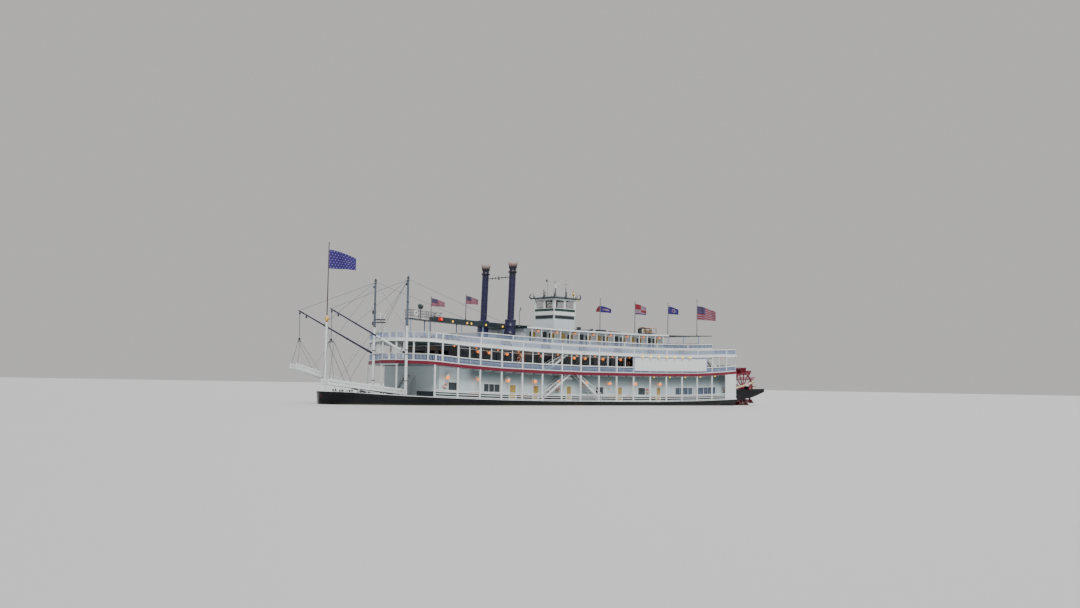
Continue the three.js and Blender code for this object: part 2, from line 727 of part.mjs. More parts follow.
const eaveFinials = [PILOT.from - CORNER, PILOT.to + CORNER].flatMap((aft) => [1, -1].map(
  (side) => finial(aft, side * (PILOT.half + CORNER), pilotRoofLow + EAVE_DEPTH / 2, 80)));
const mastFinial = finial(PILOT_MIDDLE, 0, pilotRoofLow + ROOF_PEAK - EAVE_DEPTH, 240);
add("pilothouse_roof", join([pilotRoof, ...eaveFinials, mastFinial]), "teal");

// Stacks with flared crowns, raked slightly aft, and the spreader between them.
const STACK = { aft: 2695, y: 267, radius: 44, base: 72, collar: 1907, crown: 2038, rake: 0.035 };
const stackFoot = raisedTop(STACK.aft + STACK.base) + STACK.base * STACK.rake + GAP;
const stackAft = (z) => STACK.aft + (z - stackFoot) * STACK.rake;
const BASE_HEIGHT = 288;
const STACK_SIDES = 12;
const COLLAR = { radius: 60, half: 8 };
const CROWN = { points: 8, low: 72, innerRadius: 50, outerRadius: 66, root: 14, tip: 2 };
function stack(side) {
  const at = (z) => [x(stackAft(z)), side * STACK.y, z];
  const tube = (from, to, radius, end = radius) => rod(at(from), at(to), radius, end, STACK_SIDES);
  const flare = { from: STACK.collar + STACK.radius - 4, to: STACK.collar + CROWN.low + COLLAR.half };
  const leaves = Array.from({ length: CROWN.points }, (_, k) => {
    const angle = k * FULL_TURN / CROWN.points;
    const [cx, cy, cz] = at(STACK.collar + CROWN.low);
    const spread = (r) => [cx + r * Math.cos(angle), cy + r * Math.sin(angle)];
    const root = [...spread(CROWN.innerRadius), cz];
    return rod(root, [...spread(CROWN.outerRadius), STACK.crown], CROWN.root, CROWN.tip, 4);
  });
  return join([
    tube(stackFoot, stackFoot + BASE_HEIGHT, STACK.base),
    tube(stackFoot + BASE_HEIGHT - RAISE, STACK.collar + STACK.radius, STACK.radius),
    tube(STACK.collar - COLLAR.half, STACK.collar + COLLAR.half, COLLAR.radius),
    tube(flare.from, flare.to, STACK.radius, COLLAR.radius),
    ...leaves,
  ]);
}
add("port_stack", stack(1), "navy");
add("starboard_stack", stack(-1), "navy");
const SPREADER_Z = 1845;
const spreaderReach = STACK.y - STACK.radius - GAP;
const spreaderAt = (y, z) => [x(stackAft(z)), y, z];
const ORNAMENTS = [-130, -65, 0, 65, 130];
add("stack_spreader", join([
  rod(spreaderAt(-spreaderReach, SPREADER_Z), spreaderAt(spreaderReach, SPREADER_Z), 5, 5, 6),
  ...ORNAMENTS.map((y) => {
    const size = y === 0 ? 26 : 15;
    return rod(spreaderAt(y, SPREADER_Z - size), spreaderAt(y, SPREADER_Z + size), size * 0.7, size * 0.3, 4);
  }),
]), "gold");

// Masts, booms and landing stages at the bow. Each mast turns in its step with its boom, and
// carries the heel pin of its stage.
const MAST = { aft: 980, y: 330, top: 1690, radius: 19, shoe: 32 };
const mastFoot = seat(mainFloor, MAST.aft, MAST.shoe);
const BOOM = { footZ: 800, tipAft: -105, tipZ: 1262, radius: 13 };
const STAGE = { from: -158, to: 925, half: 70, depth: 64, pinAft: 938 };
const STAGE_PIN_Z = mastFoot + 26;
const STAGE_PIN = 6;
const RUNNING = 0.6;
const GOOSENECK = 26;
const boomTilt = Math.atan2(BOOM.tipZ - BOOM.footZ, MAST.aft - BOOM.tipAft);
for (const [name, side] of [["port", 1], ["starboard", -1]]) {
  const y = side * MAST.y;
  const bracket = (from, halfWidth, z, halfHeight) => box(
    [x(MAST.aft), y - halfWidth, z - halfHeight], [x(from), y + halfWidth, z + halfHeight]);
  const mast = join([
    rod([x(MAST.aft), y, mastFoot + 2], [x(MAST.aft), y, MAST.top], MAST.radius, 12, 12),
    rod([x(MAST.aft), y, mastFoot], [x(MAST.aft), y, mastFoot + 12], MAST.shoe, MAST.shoe, 12),
    bracket(MAST.aft - GOOSENECK, 10, BOOM.footZ, 20),
    bracket(STAGE.pinAft, 30, STAGE_PIN_Z, 7),
    rod([x(STAGE.pinAft), y - STAGE.half, STAGE_PIN_Z], [x(STAGE.pinAft), y + STAGE.half, STAGE_PIN_Z],
      STAGE_PIN, STAGE_PIN, 12),
  ]);
  add(`${name}_mast`, mast, "white");
  const heel = MAST.aft - GOOSENECK - GAP - BOOM.radius * Math.sin(boomTilt);
  const boom = rod([x(heel), y, BOOM.footZ], [x(BOOM.tipAft), y, BOOM.tipZ], BOOM.radius, 8, 10);
  add(`${name}_boom`, boom, "navy");
}

// A landing stage: two side trusses and a deck between them, rising forward from its heel pin.
const CHORD = { foot: 24, low: 24, top: 18 };
const BAYS = 6;
function stage(side, rise) {
  const slope = rise / (STAGE.pinAft - STAGE.from);
  const z = (aft) => STAGE_PIN_Z - CHORD.foot / 2 + slope * (STAGE.pinAft - aft);
  const heel = STAGE.pinAft + CHORD.foot / 2;
  const columns = Array.from({ length: 2 * BAYS + 2 }, (_, k) => {
    const bay = Math.floor(k / 2);
    return STAGE.from + bay * (heel - STAGE.from - POST) / BAYS + (k % 2) * POST;
  });
  const levels = [0, CHORD.low, STAGE.depth - CHORD.top, STAGE.depth];
  const y = side * MAST.y;
  const truss = (offset) => sheet(columns.length - 1, 3, (i, j) => i % 2 === 0 || j !== 1, (i, j, skin) => [
    x(columns[i]), y + offset + (skin ? 5 : -5), z(columns[i]) + levels[j],
  ]);
  const plank = loft([STAGE.from + 1, STAGE.to].map((aft) => [
    [x(aft), y - STAGE.half + 2, z(aft) + 2], [x(aft), y + STAGE.half - 2, z(aft) + 2],
    [x(aft), y + STAGE.half - 2, z(aft) + 14], [x(aft), y - STAGE.half + 2, z(aft) + 14],
  ]));
  const boreEnd = (offset) => [x(STAGE.pinAft), y + offset, STAGE_PIN_Z];
  const boreRadius = STAGE_PIN + RUNNING;
  const bore = rod(boreEnd(-STAGE.half - 5), boreEnd(STAGE.half + 5), boreRadius, boreRadius, 16);
  return cut(join([plank, truss(5 - STAGE.half), truss(STAGE.half - 5)]), [bore]);
}
add("port_stage", stage(1, 110), "white");
add("starboard_stage", stage(-1, 285), "white");

// Jackstaff at the bow.
const JACK = { aft: 68, top: 2050, radius: 9, tip: 5 };
const jackAt = (z) => [x(JACK.aft), 0, z];
add("jackstaff", join([
  rod(jackAt(seat(mainFloor, JACK.aft, JACK.radius)), jackAt(JACK.top), JACK.radius, JACK.tip, 8),
  rod(jackAt(JACK.top - 4), jackAt(JACK.top + 14), 10, 2, 8),
]), "white");

// Wheel beams: heavy timbers from the stern deck to past the wheel, with a bearing each.
const BEAM_SEAT = 6970;
const BEAM_OUTLINE = [
  // aft, height above the flat bottom
  [BEAM_SEAT, mainFloor(BEAM_SEAT) + GAP],
  [BEAM_SEAT, 380],
  [7090, 424],
  [LENGTH, 442],
  [LENGTH, 392],
  [7786, 310],
  [7390, 254],
  [7060, 246],
  [DECK_END + 1, mainFloor(DECK_END) + GAP],
];
const BEARING = { half: 40, low: 400, top: WHEEL_Z + 34 };
for (const [name, side] of [["port", 1], ["starboard", -1]]) {
  const [low, high] = [side * BEAM_IN, side * BEAM_OUT].sort((a, b) => a - b);
  const beam = sidePlate(BEAM_OUTLINE, low, high);
  const block = box(
    [x(WHEEL_AFT + BEARING.half), low, BEARING.low],
    [x(WHEEL_AFT - BEARING.half), high, BEARING.top]);
  const boreRadius = SHAFT_RADIUS + RUNNING;
  const boreEnd = (y) => [x(WHEEL_AFT), y, WHEEL_Z];
  const bore = rod(boreEnd(low - 5), boreEnd(high + 5), boreRadius, boreRadius, 24);
  add(`${name}_wheel_beam`, cut(join([beam, block]), [bore]), "black");
}

// Paddle wheel: three spoked discs, boards from side to side, shaft, cranks and crank pins.
const wheelPoint = (angle, radius, y) => [
  x(WHEEL_AFT) - radius * Math.cos(angle), y, WHEEL_Z + radius * Math.sin(angle),
];
const SPOKE = { width: 14, half: 6 };
const DISC_RADII = [34, 236, 262, WHEEL_RADIUS - 6];
const RING_ROW = 1;
const HUB = { radius: 44, half: 16 };
function disc(y) {
  const hub = rod(
    [x(WHEEL_AFT), y - HUB.half, WHEEL_Z], [x(WHEEL_AFT), y + HUB.half, WHEEL_Z], HUB.radius, HUB.radius, 14);
  const isSolid = (i, j) => i % 2 === 0 || j === RING_ROW;
  const spokes = sheet(2 * BOARDS, DISC_RADII.length - 1, isSolid, (i, j, skin) => {
    const radius = DISC_RADII[j];
    const half = Math.asin(SPOKE.width / 2 / radius);
    const angle = FIRST_BOARD + Math.floor(i / 2) * FULL_TURN / BOARDS + (i % 2 ? half : -half);
    return wheelPoint(angle, radius, y + (skin ? SPOKE.half : -SPOKE.half));
  }, true);
  return [hub, spokes];
}
function board(k) {
  const angle = FIRST_BOARD + k * FULL_TURN / BOARDS;
  const plate = box(
    [WHEEL_RADIUS - BOARD_DEPTH, -WHEEL_HALF, -BOARD_THICKNESS / 2],
    [WHEEL_RADIUS, WHEEL_HALF, BOARD_THICKNESS / 2]);
  return plate.rotateY(HALF_TURN + angle).translate(x(WHEEL_AFT), 0, WHEEL_Z);
}
function crank(side, angle) {
  const [low, high] = [side * CRANK_IN, side * CRANK_OUT].sort((a, b) => a - b);
  const arm = box([-22, low, -20], [CRANK_RADIUS + 20, high, 20]).rotateY(HALF_TURN + angle)
    .translate(x(WHEEL_AFT), 0, WHEEL_Z);
  const at = (y) => wheelPoint(angle, CRANK_RADIUS, y);
  const pin = rod(at(side * (CRANK_IN + 5)), at(side * (PITMAN_OUT + 4)), PIN_RADIUS, PIN_RADIUS, 12);
  return [arm, pin];
}
const shaftEnd = (y) => [x(WHEEL_AFT), y, WHEEL_Z];
const shaft = rod(shaftEnd(2 - CRANK_OUT), shaftEnd(CRANK_OUT - 2), SHAFT_RADIUS, SHAFT_RADIUS, 16);
add("paddle_wheel", join([
  shaft,
  ...[-340, 0, 340].flatMap(disc),
  ...Array.from({ length: BOARDS }, (_, k) => board(k)),
  ...crank(1, CRANK_PORT),
  ...crank(-1, CRANK_STARBOARD),
]), "red");

// Pitmans, from the crank pins forward to the crossheads.
for (const [name, side, reach] of [["port", 1, CRANK_PORT], ["starboard", -1, CRANK_STARBOARD]]) {
  const pin = wheelPoint(reach, CRANK_RADIUS, 0);
  const crosshead = [pin[0] + Math.sqrt(PITMAN_LENGTH ** 2 - (pin[2] - WHEEL_Z) ** 2), 0, WHEEL_Z];
  const [low, high] = [side * PITMAN_IN, side * PITMAN_OUT].sort((a, b) => a - b);
  const end = (point, radius) => rod(
    [point[0], low, point[2]], [point[0], high, point[2]], radius, radius, 14);
  const slope = Math.atan2(pin[2] - crosshead[2], crosshead[0] - pin[0]);
  const bar = box([0, low, -9], [PITMAN_LENGTH, high, 9]).rotateY(slope).translate(pin[0], 0, pin[2]);
  const eyes = [end(pin, 20), end(crosshead, 17)];
  const boreRadius = PIN_RADIUS + RUNNING;
  const bore = rod([pin[0], low - 2, pin[2]], [pin[0], high + 2, pin[2]], boreRadius, boreRadius, 16);
  add(`${name}_pitman`, cut(join([bar, ...eyes]), [bore]), "cream");
}

// Balanced rudders under the stern's flat shelf.
const RUDDER = { aft: 6900, y: 230, ahead: 45, behind: 210, low: 12, high: 138, half: 5 };
const SHELF = 148;
for (const [name, side] of [["port", 1], ["starboard", -1]]) {
  const y = side * RUDDER.y;
  const blade = sidePlate([
    [RUDDER.aft - RUDDER.ahead, RUDDER.low], [RUDDER.aft - RUDDER.ahead, RUDDER.high],
    [RUDDER.aft + RUDDER.behind, RUDDER.high], [RUDDER.aft + RUDDER.behind, RUDDER.low],
  ], y - RUDDER.half, y + RUDDER.half);
  const stock = rod([x(RUDDER.aft), y, RUDDER.low], [x(RUDDER.aft), y, SHELF - GAP], 11, 11, 12);
  add(`${name}_rudder`, join([blade, stock]), "black");
}

// Blank name boards on the second deck's rails.
const BOARD_SIGN = { from: 4655, to: 6284, low: 28, high: 222, thickness: 6 };
for (const [name, side] of [["port", 1], ["starboard", -1]]) {
  const stations = [BOARD_SIGN.from, ...sheerStations(BOARD_SIGN.from, BOARD_SIGN.to), BOARD_SIGN.to];
  const inner = HALF_BEAM - 4 + GAP;
  const sign = sheet(stations.length - 1, 1, () => true, (i, j, skin) => {
    const aft = stations[i];
    const z = secondFloor(aft) + (j ? BOARD_SIGN.high : BOARD_SIGN.low);
    return [x(aft), side * (inner + (skin ? BOARD_SIGN.thickness : 0)), z];
  });
  add(`${name}_name_board`, sign, "white");
}

// Flagstaffs on the decks, each with its flag flying aft and to port. "lowered" is how far the
// cloth hangs below the staff's top.
const WIND = QUARTER_TURN / 2;
const CLOTH_HALF = 3;
const FLAGS = [
  // name, aft, y, height of the foot, height of the top, lowered, flag's drop, flag's fly
  ["first", 1370, 290, thirdFloor, 1488, 12, 100, 159],
  ["second", 2129, 45, overThird(WALK.rise), 1577, 12, 105, 152],
  ["third", 4370, 300, roofTop, 1658, 95, 92, 150],
  ["fourth", 5105, 300, roofTop, 1662, 28, 150, 158],
  ["fifth", 5846, 300, overThird(300), 1679, 36, 116, 150],
  ["sixth", 6535, 300, overThird(300), 1782, 92, 215, 280],
];
function cloth(from, top, drop, fly) {
  return box([-fly, -CLOTH_HALF, top - drop], [from, CLOTH_HALF, top]).rotateZ(-WIND);
}
for (const [name, aft, y, foot, top, lowered, drop, fly] of FLAGS) {
  const staff = rod([x(aft), y, seat(foot, aft, 6)], [x(aft), y, top], 5, 4, 6);
  const flag = cloth(0, top - lowered, drop, fly).translate(x(aft), y, 0);
  add(`${name}_flag`, join([staff, flag]), "flag");
}
const BOW_FLAG = { lowered: 76, drop: 225, fly: 310 };
const bowHoist = -JACK.tip - 4 * GAP;
const bowFlag = cloth(bowHoist, JACK.top - BOW_FLAG.lowered, BOW_FLAG.drop, BOW_FLAG.fly);
add("bow_flag", bowFlag.translate(x(JACK.aft), 0, 0), "navy");

export default boat;
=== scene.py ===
# %% [markdown]
# A sternwheel excursion steamer, as a model at one tenth of its size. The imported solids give
# every deck, wall, post, stack, mast and the wheel at their real places. This lesson dresses
# them: it paints what is there and models what the solids leave out, such as balusters,
# windows, lamps, stairs, rigging, flags and the fittings on the roofs.

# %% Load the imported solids
import math

import bmesh
import bpy
import numpy as np
from mathutils import Matrix, Vector


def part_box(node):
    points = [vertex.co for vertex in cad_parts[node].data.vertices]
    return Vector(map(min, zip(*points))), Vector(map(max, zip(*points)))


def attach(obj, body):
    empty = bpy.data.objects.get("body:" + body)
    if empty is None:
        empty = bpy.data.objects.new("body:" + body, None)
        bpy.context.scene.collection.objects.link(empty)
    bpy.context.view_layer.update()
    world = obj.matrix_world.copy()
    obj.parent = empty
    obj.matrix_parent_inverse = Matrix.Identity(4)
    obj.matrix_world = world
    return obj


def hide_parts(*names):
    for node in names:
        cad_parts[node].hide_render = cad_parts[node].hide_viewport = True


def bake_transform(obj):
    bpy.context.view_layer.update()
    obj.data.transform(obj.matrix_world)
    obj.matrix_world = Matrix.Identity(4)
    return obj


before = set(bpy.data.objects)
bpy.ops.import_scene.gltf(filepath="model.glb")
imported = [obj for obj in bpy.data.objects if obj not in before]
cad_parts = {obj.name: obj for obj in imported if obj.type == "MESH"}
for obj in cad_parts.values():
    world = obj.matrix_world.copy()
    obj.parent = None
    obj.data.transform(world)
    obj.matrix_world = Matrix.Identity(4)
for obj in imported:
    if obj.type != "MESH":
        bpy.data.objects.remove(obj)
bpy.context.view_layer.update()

# %% [markdown]
# Places are read from the solids wherever they can be. A deck slopes with the sheer, so its
# height is looked up along the boat, and its edge is the outline of its own mesh. Distances
# along the boat are easier to think of from the tip of the bow, so `aft` turns them round.

# %% Heights and outlines of the decks
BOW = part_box("hull")[1].x
WATERLINE = 0.18
SIDES = (("port", 1), ("starboard", -1))
DECKS = ("main_deck", "second_deck", "third_deck", "raised_deck", "texas_roof")


def aft(distance):
    """X of a place that lies a distance aft of the tip of the bow."""
    return BOW - distance


def profile(node, pick):
    """The stations of a slab, and its height or half breadth there, as pick chooses."""
    corners = np.array([v.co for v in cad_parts[node].data.vertices], float).round(5)
    stations = sorted(set(corners[:, 0]))
    return stations, [pick(corners[corners[:, 0] == x]) for x in stations]


def reader(node, pick):
    stations, values = profile(node, pick)
    return lambda x: float(np.interp(x, stations, values))


top_of = {node: reader(node, lambda rows: rows[:, 2].max()) for node in DECKS}
under_of = {node: reader(node, lambda rows: rows[:, 2].min()) for node in DECKS}
roof_half = reader("texas_roof", lambda rows: rows[:, 1].max())
print("second deck amidships", round(top_of["second_deck"](0), 3))

# %% [markdown]
# A finish is a material whose pattern is computed. Sums on sockets read best as plain
# Python, so one small class wraps a socket and takes `+`, `-`, `*` and `/`, and every
# other node comes from a single method of the finish it belongs to.


# %% Sockets as numbers, and finishes
class Wire:
    """A socket in a finish's graph. Sums on wires add Math nodes."""

    def __init__(self, finish, socket):
        self.finish = finish
        self.socket = socket

    def sum(self, operation, other):
        return self.finish.node("ShaderNodeMath", {"operation": operation}, {0: self, 1: other})

    def __add__(self, other):
        return self.sum("ADD", other)

    def __sub__(self, other):
        return self.sum("SUBTRACT", other)

    def __mul__(self, other):
        return self.sum("MULTIPLY", other)

    def __truediv__(self, other):
        return self.sum("DIVIDE", other)

    def __mod__(self, other):
        return self.sum("FLOORED_MODULO", other)


class Finish:
    """A material with one Principled shader, whose fixed values are set by name."""

    def __init__(self, name, slot, **fixed):
        self.slot = slot
        self.material = bpy.data.materials.new(name)
        self.material.use_nodes = True
        self.tree = self.material.node_tree
        self.shader = self.tree.nodes["Principled BSDF"]
        for key, value in fixed.items():
            self.shader.inputs[key.replace("_", " ")].default_value = value

    def node(self, kind, settings, sockets, output=0):
        made = self.tree.nodes.new(kind)
        for key, value in settings.items():
            setattr(made, key, value)
        for key, value in sockets.items():
            if isinstance(value, Wire):
                self.tree.links.new(value.socket, made.inputs[key])
            else:
                made.inputs[key].default_value = value
        return Wire(self, made.outputs[output])

    def feed(self, name, wire):
        self.tree.links.new(wire.socket, self.shader.inputs[name])

    def place(self, stretch=(1, 1, 1), source="Object"):
        here = self.node("ShaderNodeTexCoord", {}, {}, source)
        return self.node("ShaderNodeMapping", {}, {"Vector": here, "Scale": stretch})

    def part(self, vector, axis):
        return self.node("ShaderNodeSeparateXYZ", {}, {0: vector}, axis)

    def noise(self, scale, where=None, detail=4.0):
        place = where or self.place()
        return self.node("ShaderNodeTexNoise", {}, {"Vector": place, "Scale": scale, "Detail": detail})

    def step(self, value, low, high):
        """The value's way from low to high, smoothed and held at both ends."""
        return self.node("ShaderNodeMapRange", {"interpolation_type": "SMOOTHSTEP"},
                         {"Value": value, "From Min": low, "From Max": high})

    def mix(self, first, second, share):
        """Two colours, each a wire or three numbers, mixed by the share of the second."""
        first, second = (each if isinstance(each, Wire) else (*each, 1.0) for each in (first, second))
        return self.node("ShaderNodeMix", {"data_type": "RGBA"}, {0: share, 6: first, 7: second}, 2)

    def seams(self, coordinate, pitch, width):
        """1 in a narrow line at every pitch along a coordinate, 0 between the lines."""
        place = coordinate % pitch
        return self.step(place, pitch - width, pitch - width * 0.3) + self.step(place, width * 0.7, 0.0)

    def skin(self, colour, roughness, height, strength=0.4, distance=0.002):
        """Feeds the shader with a colour, a relief and, where there is one, a roughness."""
        self.feed("Base Color", colour)
        if roughness:
            self.feed("Roughness", roughness)
        self.feed("Normal", self.node(
            "ShaderNodeBump", {}, {"Height": height, "Strength": strength, "Distance": distance}))
        return self


def shade(colour, factor):
    return tuple(part * factor for part in colour)


def above(finish, deck):
    """Height above a deck, as a wire: a curve of the second degree follows the sheer closely."""
    stations = np.linspace(aft(6.9), aft(1.2), 40)
    heights = [top_of[deck](x) for x in stations]
    square, slope, level = (float(v) for v in np.polyfit(stations, heights, 2))
    here = finish.place()
    along = finish.part(here, "X")
    return finish.part(here, "Z") - (along * (along * square + slope) + level)


# %% [markdown]
# The superstructure is white paint on steel and wood. From a few steps away it isn't one
# white: joints between the sheets catch dirt, rain draws faint streaks down from them, and
# the paint is duller where hands and weather wear it. The main deck's walls are white paint
# darkened to a cool pale blue as painted shade, with a dark foot of painted shade, and more
# painted shade darkens them upwards, where the deck above shades them.

# %% White paint
WHITE = (0.74, 0.79, 0.81)
SHADED_WALL_WHITE = (0.64, 0.78, 0.82)
# White paint darkened to a grey blue as painted shade, for balusters, frames, bars and the pale parts of the walk
# and canopy.
SHADED_WHITE = (0.27, 0.36, 0.55)
CREAM_STAIN = (0.60, 0.52, 0.40)
WALL_SHADOW = (0.045, 0.095, 0.105)
PLATE = 0.176
# The painted shade at the foot of the main deck's walls, and how high it reaches.
FOOT_SHADE = (0.018, 0.036, 0.044)
FOOT_SHADE_RISE = 0.074


def white_finish(name, panel, white=WHITE, painted_shade=False):
    finish = Finish(name, "white_paint", Coat_Weight=0.15, Coat_Roughness=0.3)
    here = finish.place()
    along, up = finish.part(here, "X"), finish.part(here, "Z")
    cloud = finish.noise(2.2, here)
    streak = finish.noise(1.0, finish.place((60, 60, 2.5)), 6.0)
    joint = finish.seams(along, panel, 0.004) + finish.seams(up, panel * 1.6, 0.003)
    dirt = finish.step(streak, 0.52, 0.78) * finish.step(cloud, 0.35, 0.7)
    stained = finish.mix(finish.mix(white, shade(white, 0.86), cloud), CREAM_STAIN, dirt * 0.35)
    wall = finish.mix(stained, shade(white, 0.5), joint * 0.45)
    if painted_shade:
        height = above(finish, "main_deck")
        # Painted shade: aft of the house's front, the wall darkens upwards, where the deck above would shade it.
        shadow = finish.step(height, 0.17, 0.33) * finish.step(along, aft(1.70), aft(1.85)) * 0.8
        wall = finish.mix(wall, WALL_SHADOW, shadow)
        # Painted shade: a dark band at the foot of the wall, up to the height of the main deck's rails.
        wall = finish.mix(FOOT_SHADE, wall, finish.step(height, FOOT_SHADE_RISE - 0.002, FOOT_SHADE_RISE + 0.002))
    return finish.skin(wall, cloud * 0.25 + 0.3, finish.noise(70, here) * 0.15 - joint, 0.35, 0.0015)


# Painted shade: the main deck's walls are white paint darkened to a pale blue, as the deck above would shade them.
shaded_wall_paint = white_finish("white wall paint with painted shade", PLATE, SHADED_WALL_WHITE, painted_shade=True)
# Painted shade: the rails' balusters, name board frames and engine room bars are white paint darkened to a grey
# blue.
shaded_rail_paint = white_finish("rail paint with painted shade", 0.9, SHADED_WHITE)
cabin_wall = white_finish("cool white wall paint", PLATE, (0.62, 0.71, 0.77))
white_trim = white_finish("white trim paint", 0.9)
print("finishes", shaded_wall_paint.material.name, white_trim.material.name)

# %% [markdown]
# The hull is black over riveted plates. The band at the waterline is what a river leaves: a
# greenish grey film that fades upwards, with scuffs where the boat lies against landings.

# %% Hull black
BLACK = (0.006, 0.007, 0.009)
RIVER_FILM = (0.075, 0.078, 0.05)
SCUFF = (0.05, 0.048, 0.045)
RUST = (0.12, 0.045, 0.02)
PLATE_LENGTH = 0.42
PLATE_HEIGHT = 0.085


def hull_finish():
    finish = Finish("hull black", "hull_black", Coat_Weight=0.1, Coat_Roughness=0.3,
                    Specular_IOR_Level=0.15)
    here = finish.place()
    along, up = finish.part(here, "X"), finish.part(here, "Z")
    cloud = finish.noise(3.0, here)
    scuff = finish.noise(9.0, finish.place((0.5, 1, 9)), 8.0)
    seam = finish.seams(along, PLATE_LENGTH, 0.006) + finish.seams(up, PLATE_HEIGHT, 0.004)
    film = finish.step(up + cloud * 0.03, WATERLINE + 0.05, WATERLINE - 0.01)
    scuffed = finish.mix(BLACK, SCUFF, finish.step(scuff, 0.60, 0.78) * 0.4)
    rusty = finish.mix(scuffed, RUST, finish.step(finish.noise(14, here), 0.62, 0.75) * 0.35)
    filmed = finish.mix(rusty, RIVER_FILM, film * 0.7)
    return finish.skin(filmed, scuff * 0.35 + 0.2, scuff * 0.2 - seam, 0.5)


hull_black = hull_finish()

# %% [markdown]
# A deck slab shows three faces: planks on top, a painted edge that people see from the
# shore, and a ceiling below, painted dark as painted shade. The face's own normal tells them
# apart, so one finish serves the whole slab, with the colours of its edge and planks as the
# only differences.

# %% Deck slabs
PLANK = 0.016
PLANK_GREY = (0.20, 0.19, 0.175)
SHADED_MAIN_PLANKS = (0.045, 0.052, 0.055)
CAULKING = (0.03, 0.03, 0.03)
CEILING_SHADE = (0.20, 0.27, 0.29)
CRIMSON = (0.155, 0.004, 0.024)


def deck_finish(name, slot, edge, planking=PLANK_GREY):
    finish = Finish(name, slot)
    here = finish.place()
    across = finish.part(here, "Y")
    board = finish.node("ShaderNodeMath", {"operation": "FLOOR"}, {0: across / PLANK})
    tone = finish.node("ShaderNodeTexWhiteNoise", {"noise_dimensions": "1D"}, {"W": board}, "Value")
    grain = finish.noise(30, finish.place((0.6, 8, 8)), 8.0)
    wear = finish.noise(1.7, here)
    seam = finish.seams(across, PLANK, 0.0016)
    wood = finish.mix(shade(planking, 0.75), shade(planking, 1.35), tone * 0.6 + grain * 0.4)
    walked = finish.mix(wood, shade(planking, 1.45), finish.step(wear, 0.45, 0.72) * 0.4)
    planks = finish.mix(walked, CAULKING, seam * 0.8)
    facing = finish.part(finish.node("ShaderNodeNewGeometry", {}, {}, "Normal"), "Z")
    painted = finish.mix(edge, shade(edge, 0.6), finish.step(finish.noise(6, here), 0.5, 0.8) * 0.5)
    # Painted shade: faces that look down are painted dark.
    sides = finish.mix(painted, CEILING_SHADE, finish.step(facing, -0.5, -0.8))
    on_top = finish.step(facing, 0.5, 0.8)
    return finish.skin(finish.mix(sides, planks, on_top), on_top * 0.35 + 0.4,
                       grain * 0.2 - seam * on_top, 0.4, 0.0015)


# The main deck lies under the second deck, so its planks are painted dark as painted shade.
main_deck_paint = deck_finish("main deck", "hull_black", BLACK, SHADED_MAIN_PLANKS)
second_deck_paint = deck_finish("second deck", "crimson_paint", CRIMSON)
third_deck_paint = deck_finish("third deck", "white_paint", WHITE)
raised_deck_paint = deck_finish("raised deck", "deck_paint", WHITE)
print("planks of", PLANK * 10, "m on the full-sized boat")

# %% [markdown]
# The plain paints share one recipe: a colour that varies in slow clouds, fine specks of
# dirt or rust, and a skin that is a little uneven. Only the numbers change, so a function
# takes them.


# %% Plain paints, metals and timber
def paint_finish(name, slot, colour, roughness, speck=(0.05, 0.035, 0.03), amount=0.35,
                 metallic=0.0, coat=0.0):
    finish = Finish(name, slot, Metallic=metallic, Coat_Weight=coat, Coat_Roughness=0.15)
    here = finish.place()
    cloud = finish.noise(4.0, here)
    fine = finish.noise(38.0, here, 8.0)
    body = finish.mix(shade(colour, 1.12), shade(colour, 0.72), cloud)
    speckled = finish.mix(body, speck, finish.step(fine, 0.56, 0.76) * amount)
    return finish.skin(speckled, fine * 0.3 + (roughness - 0.12), fine, 0.22, 0.001)


def timber_finish(name, slot, colour, stretch, roughness, wet=0.0):
    finish = Finish(name, slot, Coat_Weight=wet, Coat_Roughness=0.08)
    grain = finish.noise(22.0, finish.place(stretch), 10.0)
    body = finish.mix(shade(colour, 1.3), shade(colour, 0.5), finish.step(grain, 0.3, 0.72))
    worn = finish.mix(body, (0.55, 0.42, 0.36), finish.step(finish.noise(5.0), 0.60, 0.82) * 0.45)
    return finish.skin(worn, grain * 0.35 + (roughness - 0.1), grain, 0.5, 0.0015)


teal = paint_finish("dark teal paint", "teal_paint", (0.008, 0.026, 0.034), 0.5)
sill_green = paint_finish("dark green sill", "teal_paint", (0.010, 0.045, 0.034), 0.45)
starboard_green = paint_finish("starboard green", "teal_paint", (0.01, 0.16, 0.06), 0.4)
port_red = paint_finish("port red", "crimson_paint", (0.45, 0.02, 0.02), 0.4)
navy = paint_finish("dark navy paint", "navy_paint", (0.016, 0.020, 0.048), 0.34, coat=0.3)
shadow_blue = paint_finish("dark roof fittings", "navy_paint", (0.035, 0.042, 0.055), 0.5)
gilt = paint_finish("gilt", "gilt", (0.80, 0.52, 0.14), 0.28, amount=0.15, metallic=0.85)
steel = paint_finish("machinery steel", "steel", (0.085, 0.09, 0.098), 0.42, metallic=0.5)
wire_steel = paint_finish("galvanised wire", "steel", (0.16, 0.165, 0.18), 0.4, metallic=0.6)
staff_paint = paint_finish("dark staff paint", "steel", (0.060, 0.045, 0.060), 0.45)
hood_brown = paint_finish("red-brown hood", "cream_paint", (0.34, 0.13, 0.045), 0.45, coat=0.2)
varnish = paint_finish("varnished doors", "cream_paint", (0.46, 0.33, 0.075), 0.32,
                       (0.2, 0.12, 0.03), 0.5, coat=0.4)
wheel_red = timber_finish("wet wheel timber", "wheel_red", (0.17, 0.007, 0.022), (9, 0.6, 9), 0.3, 0.6)
cream = timber_finish("cream timber", "cream_paint", (0.66, 0.55, 0.34), (0.6, 9, 9), 0.45)
bench_wood = timber_finish("bench slats", "cream_paint", (0.30, 0.16, 0.07), (0.6, 9, 9), 0.5)
print("timbers", wheel_red.material.name, cream.material.name)

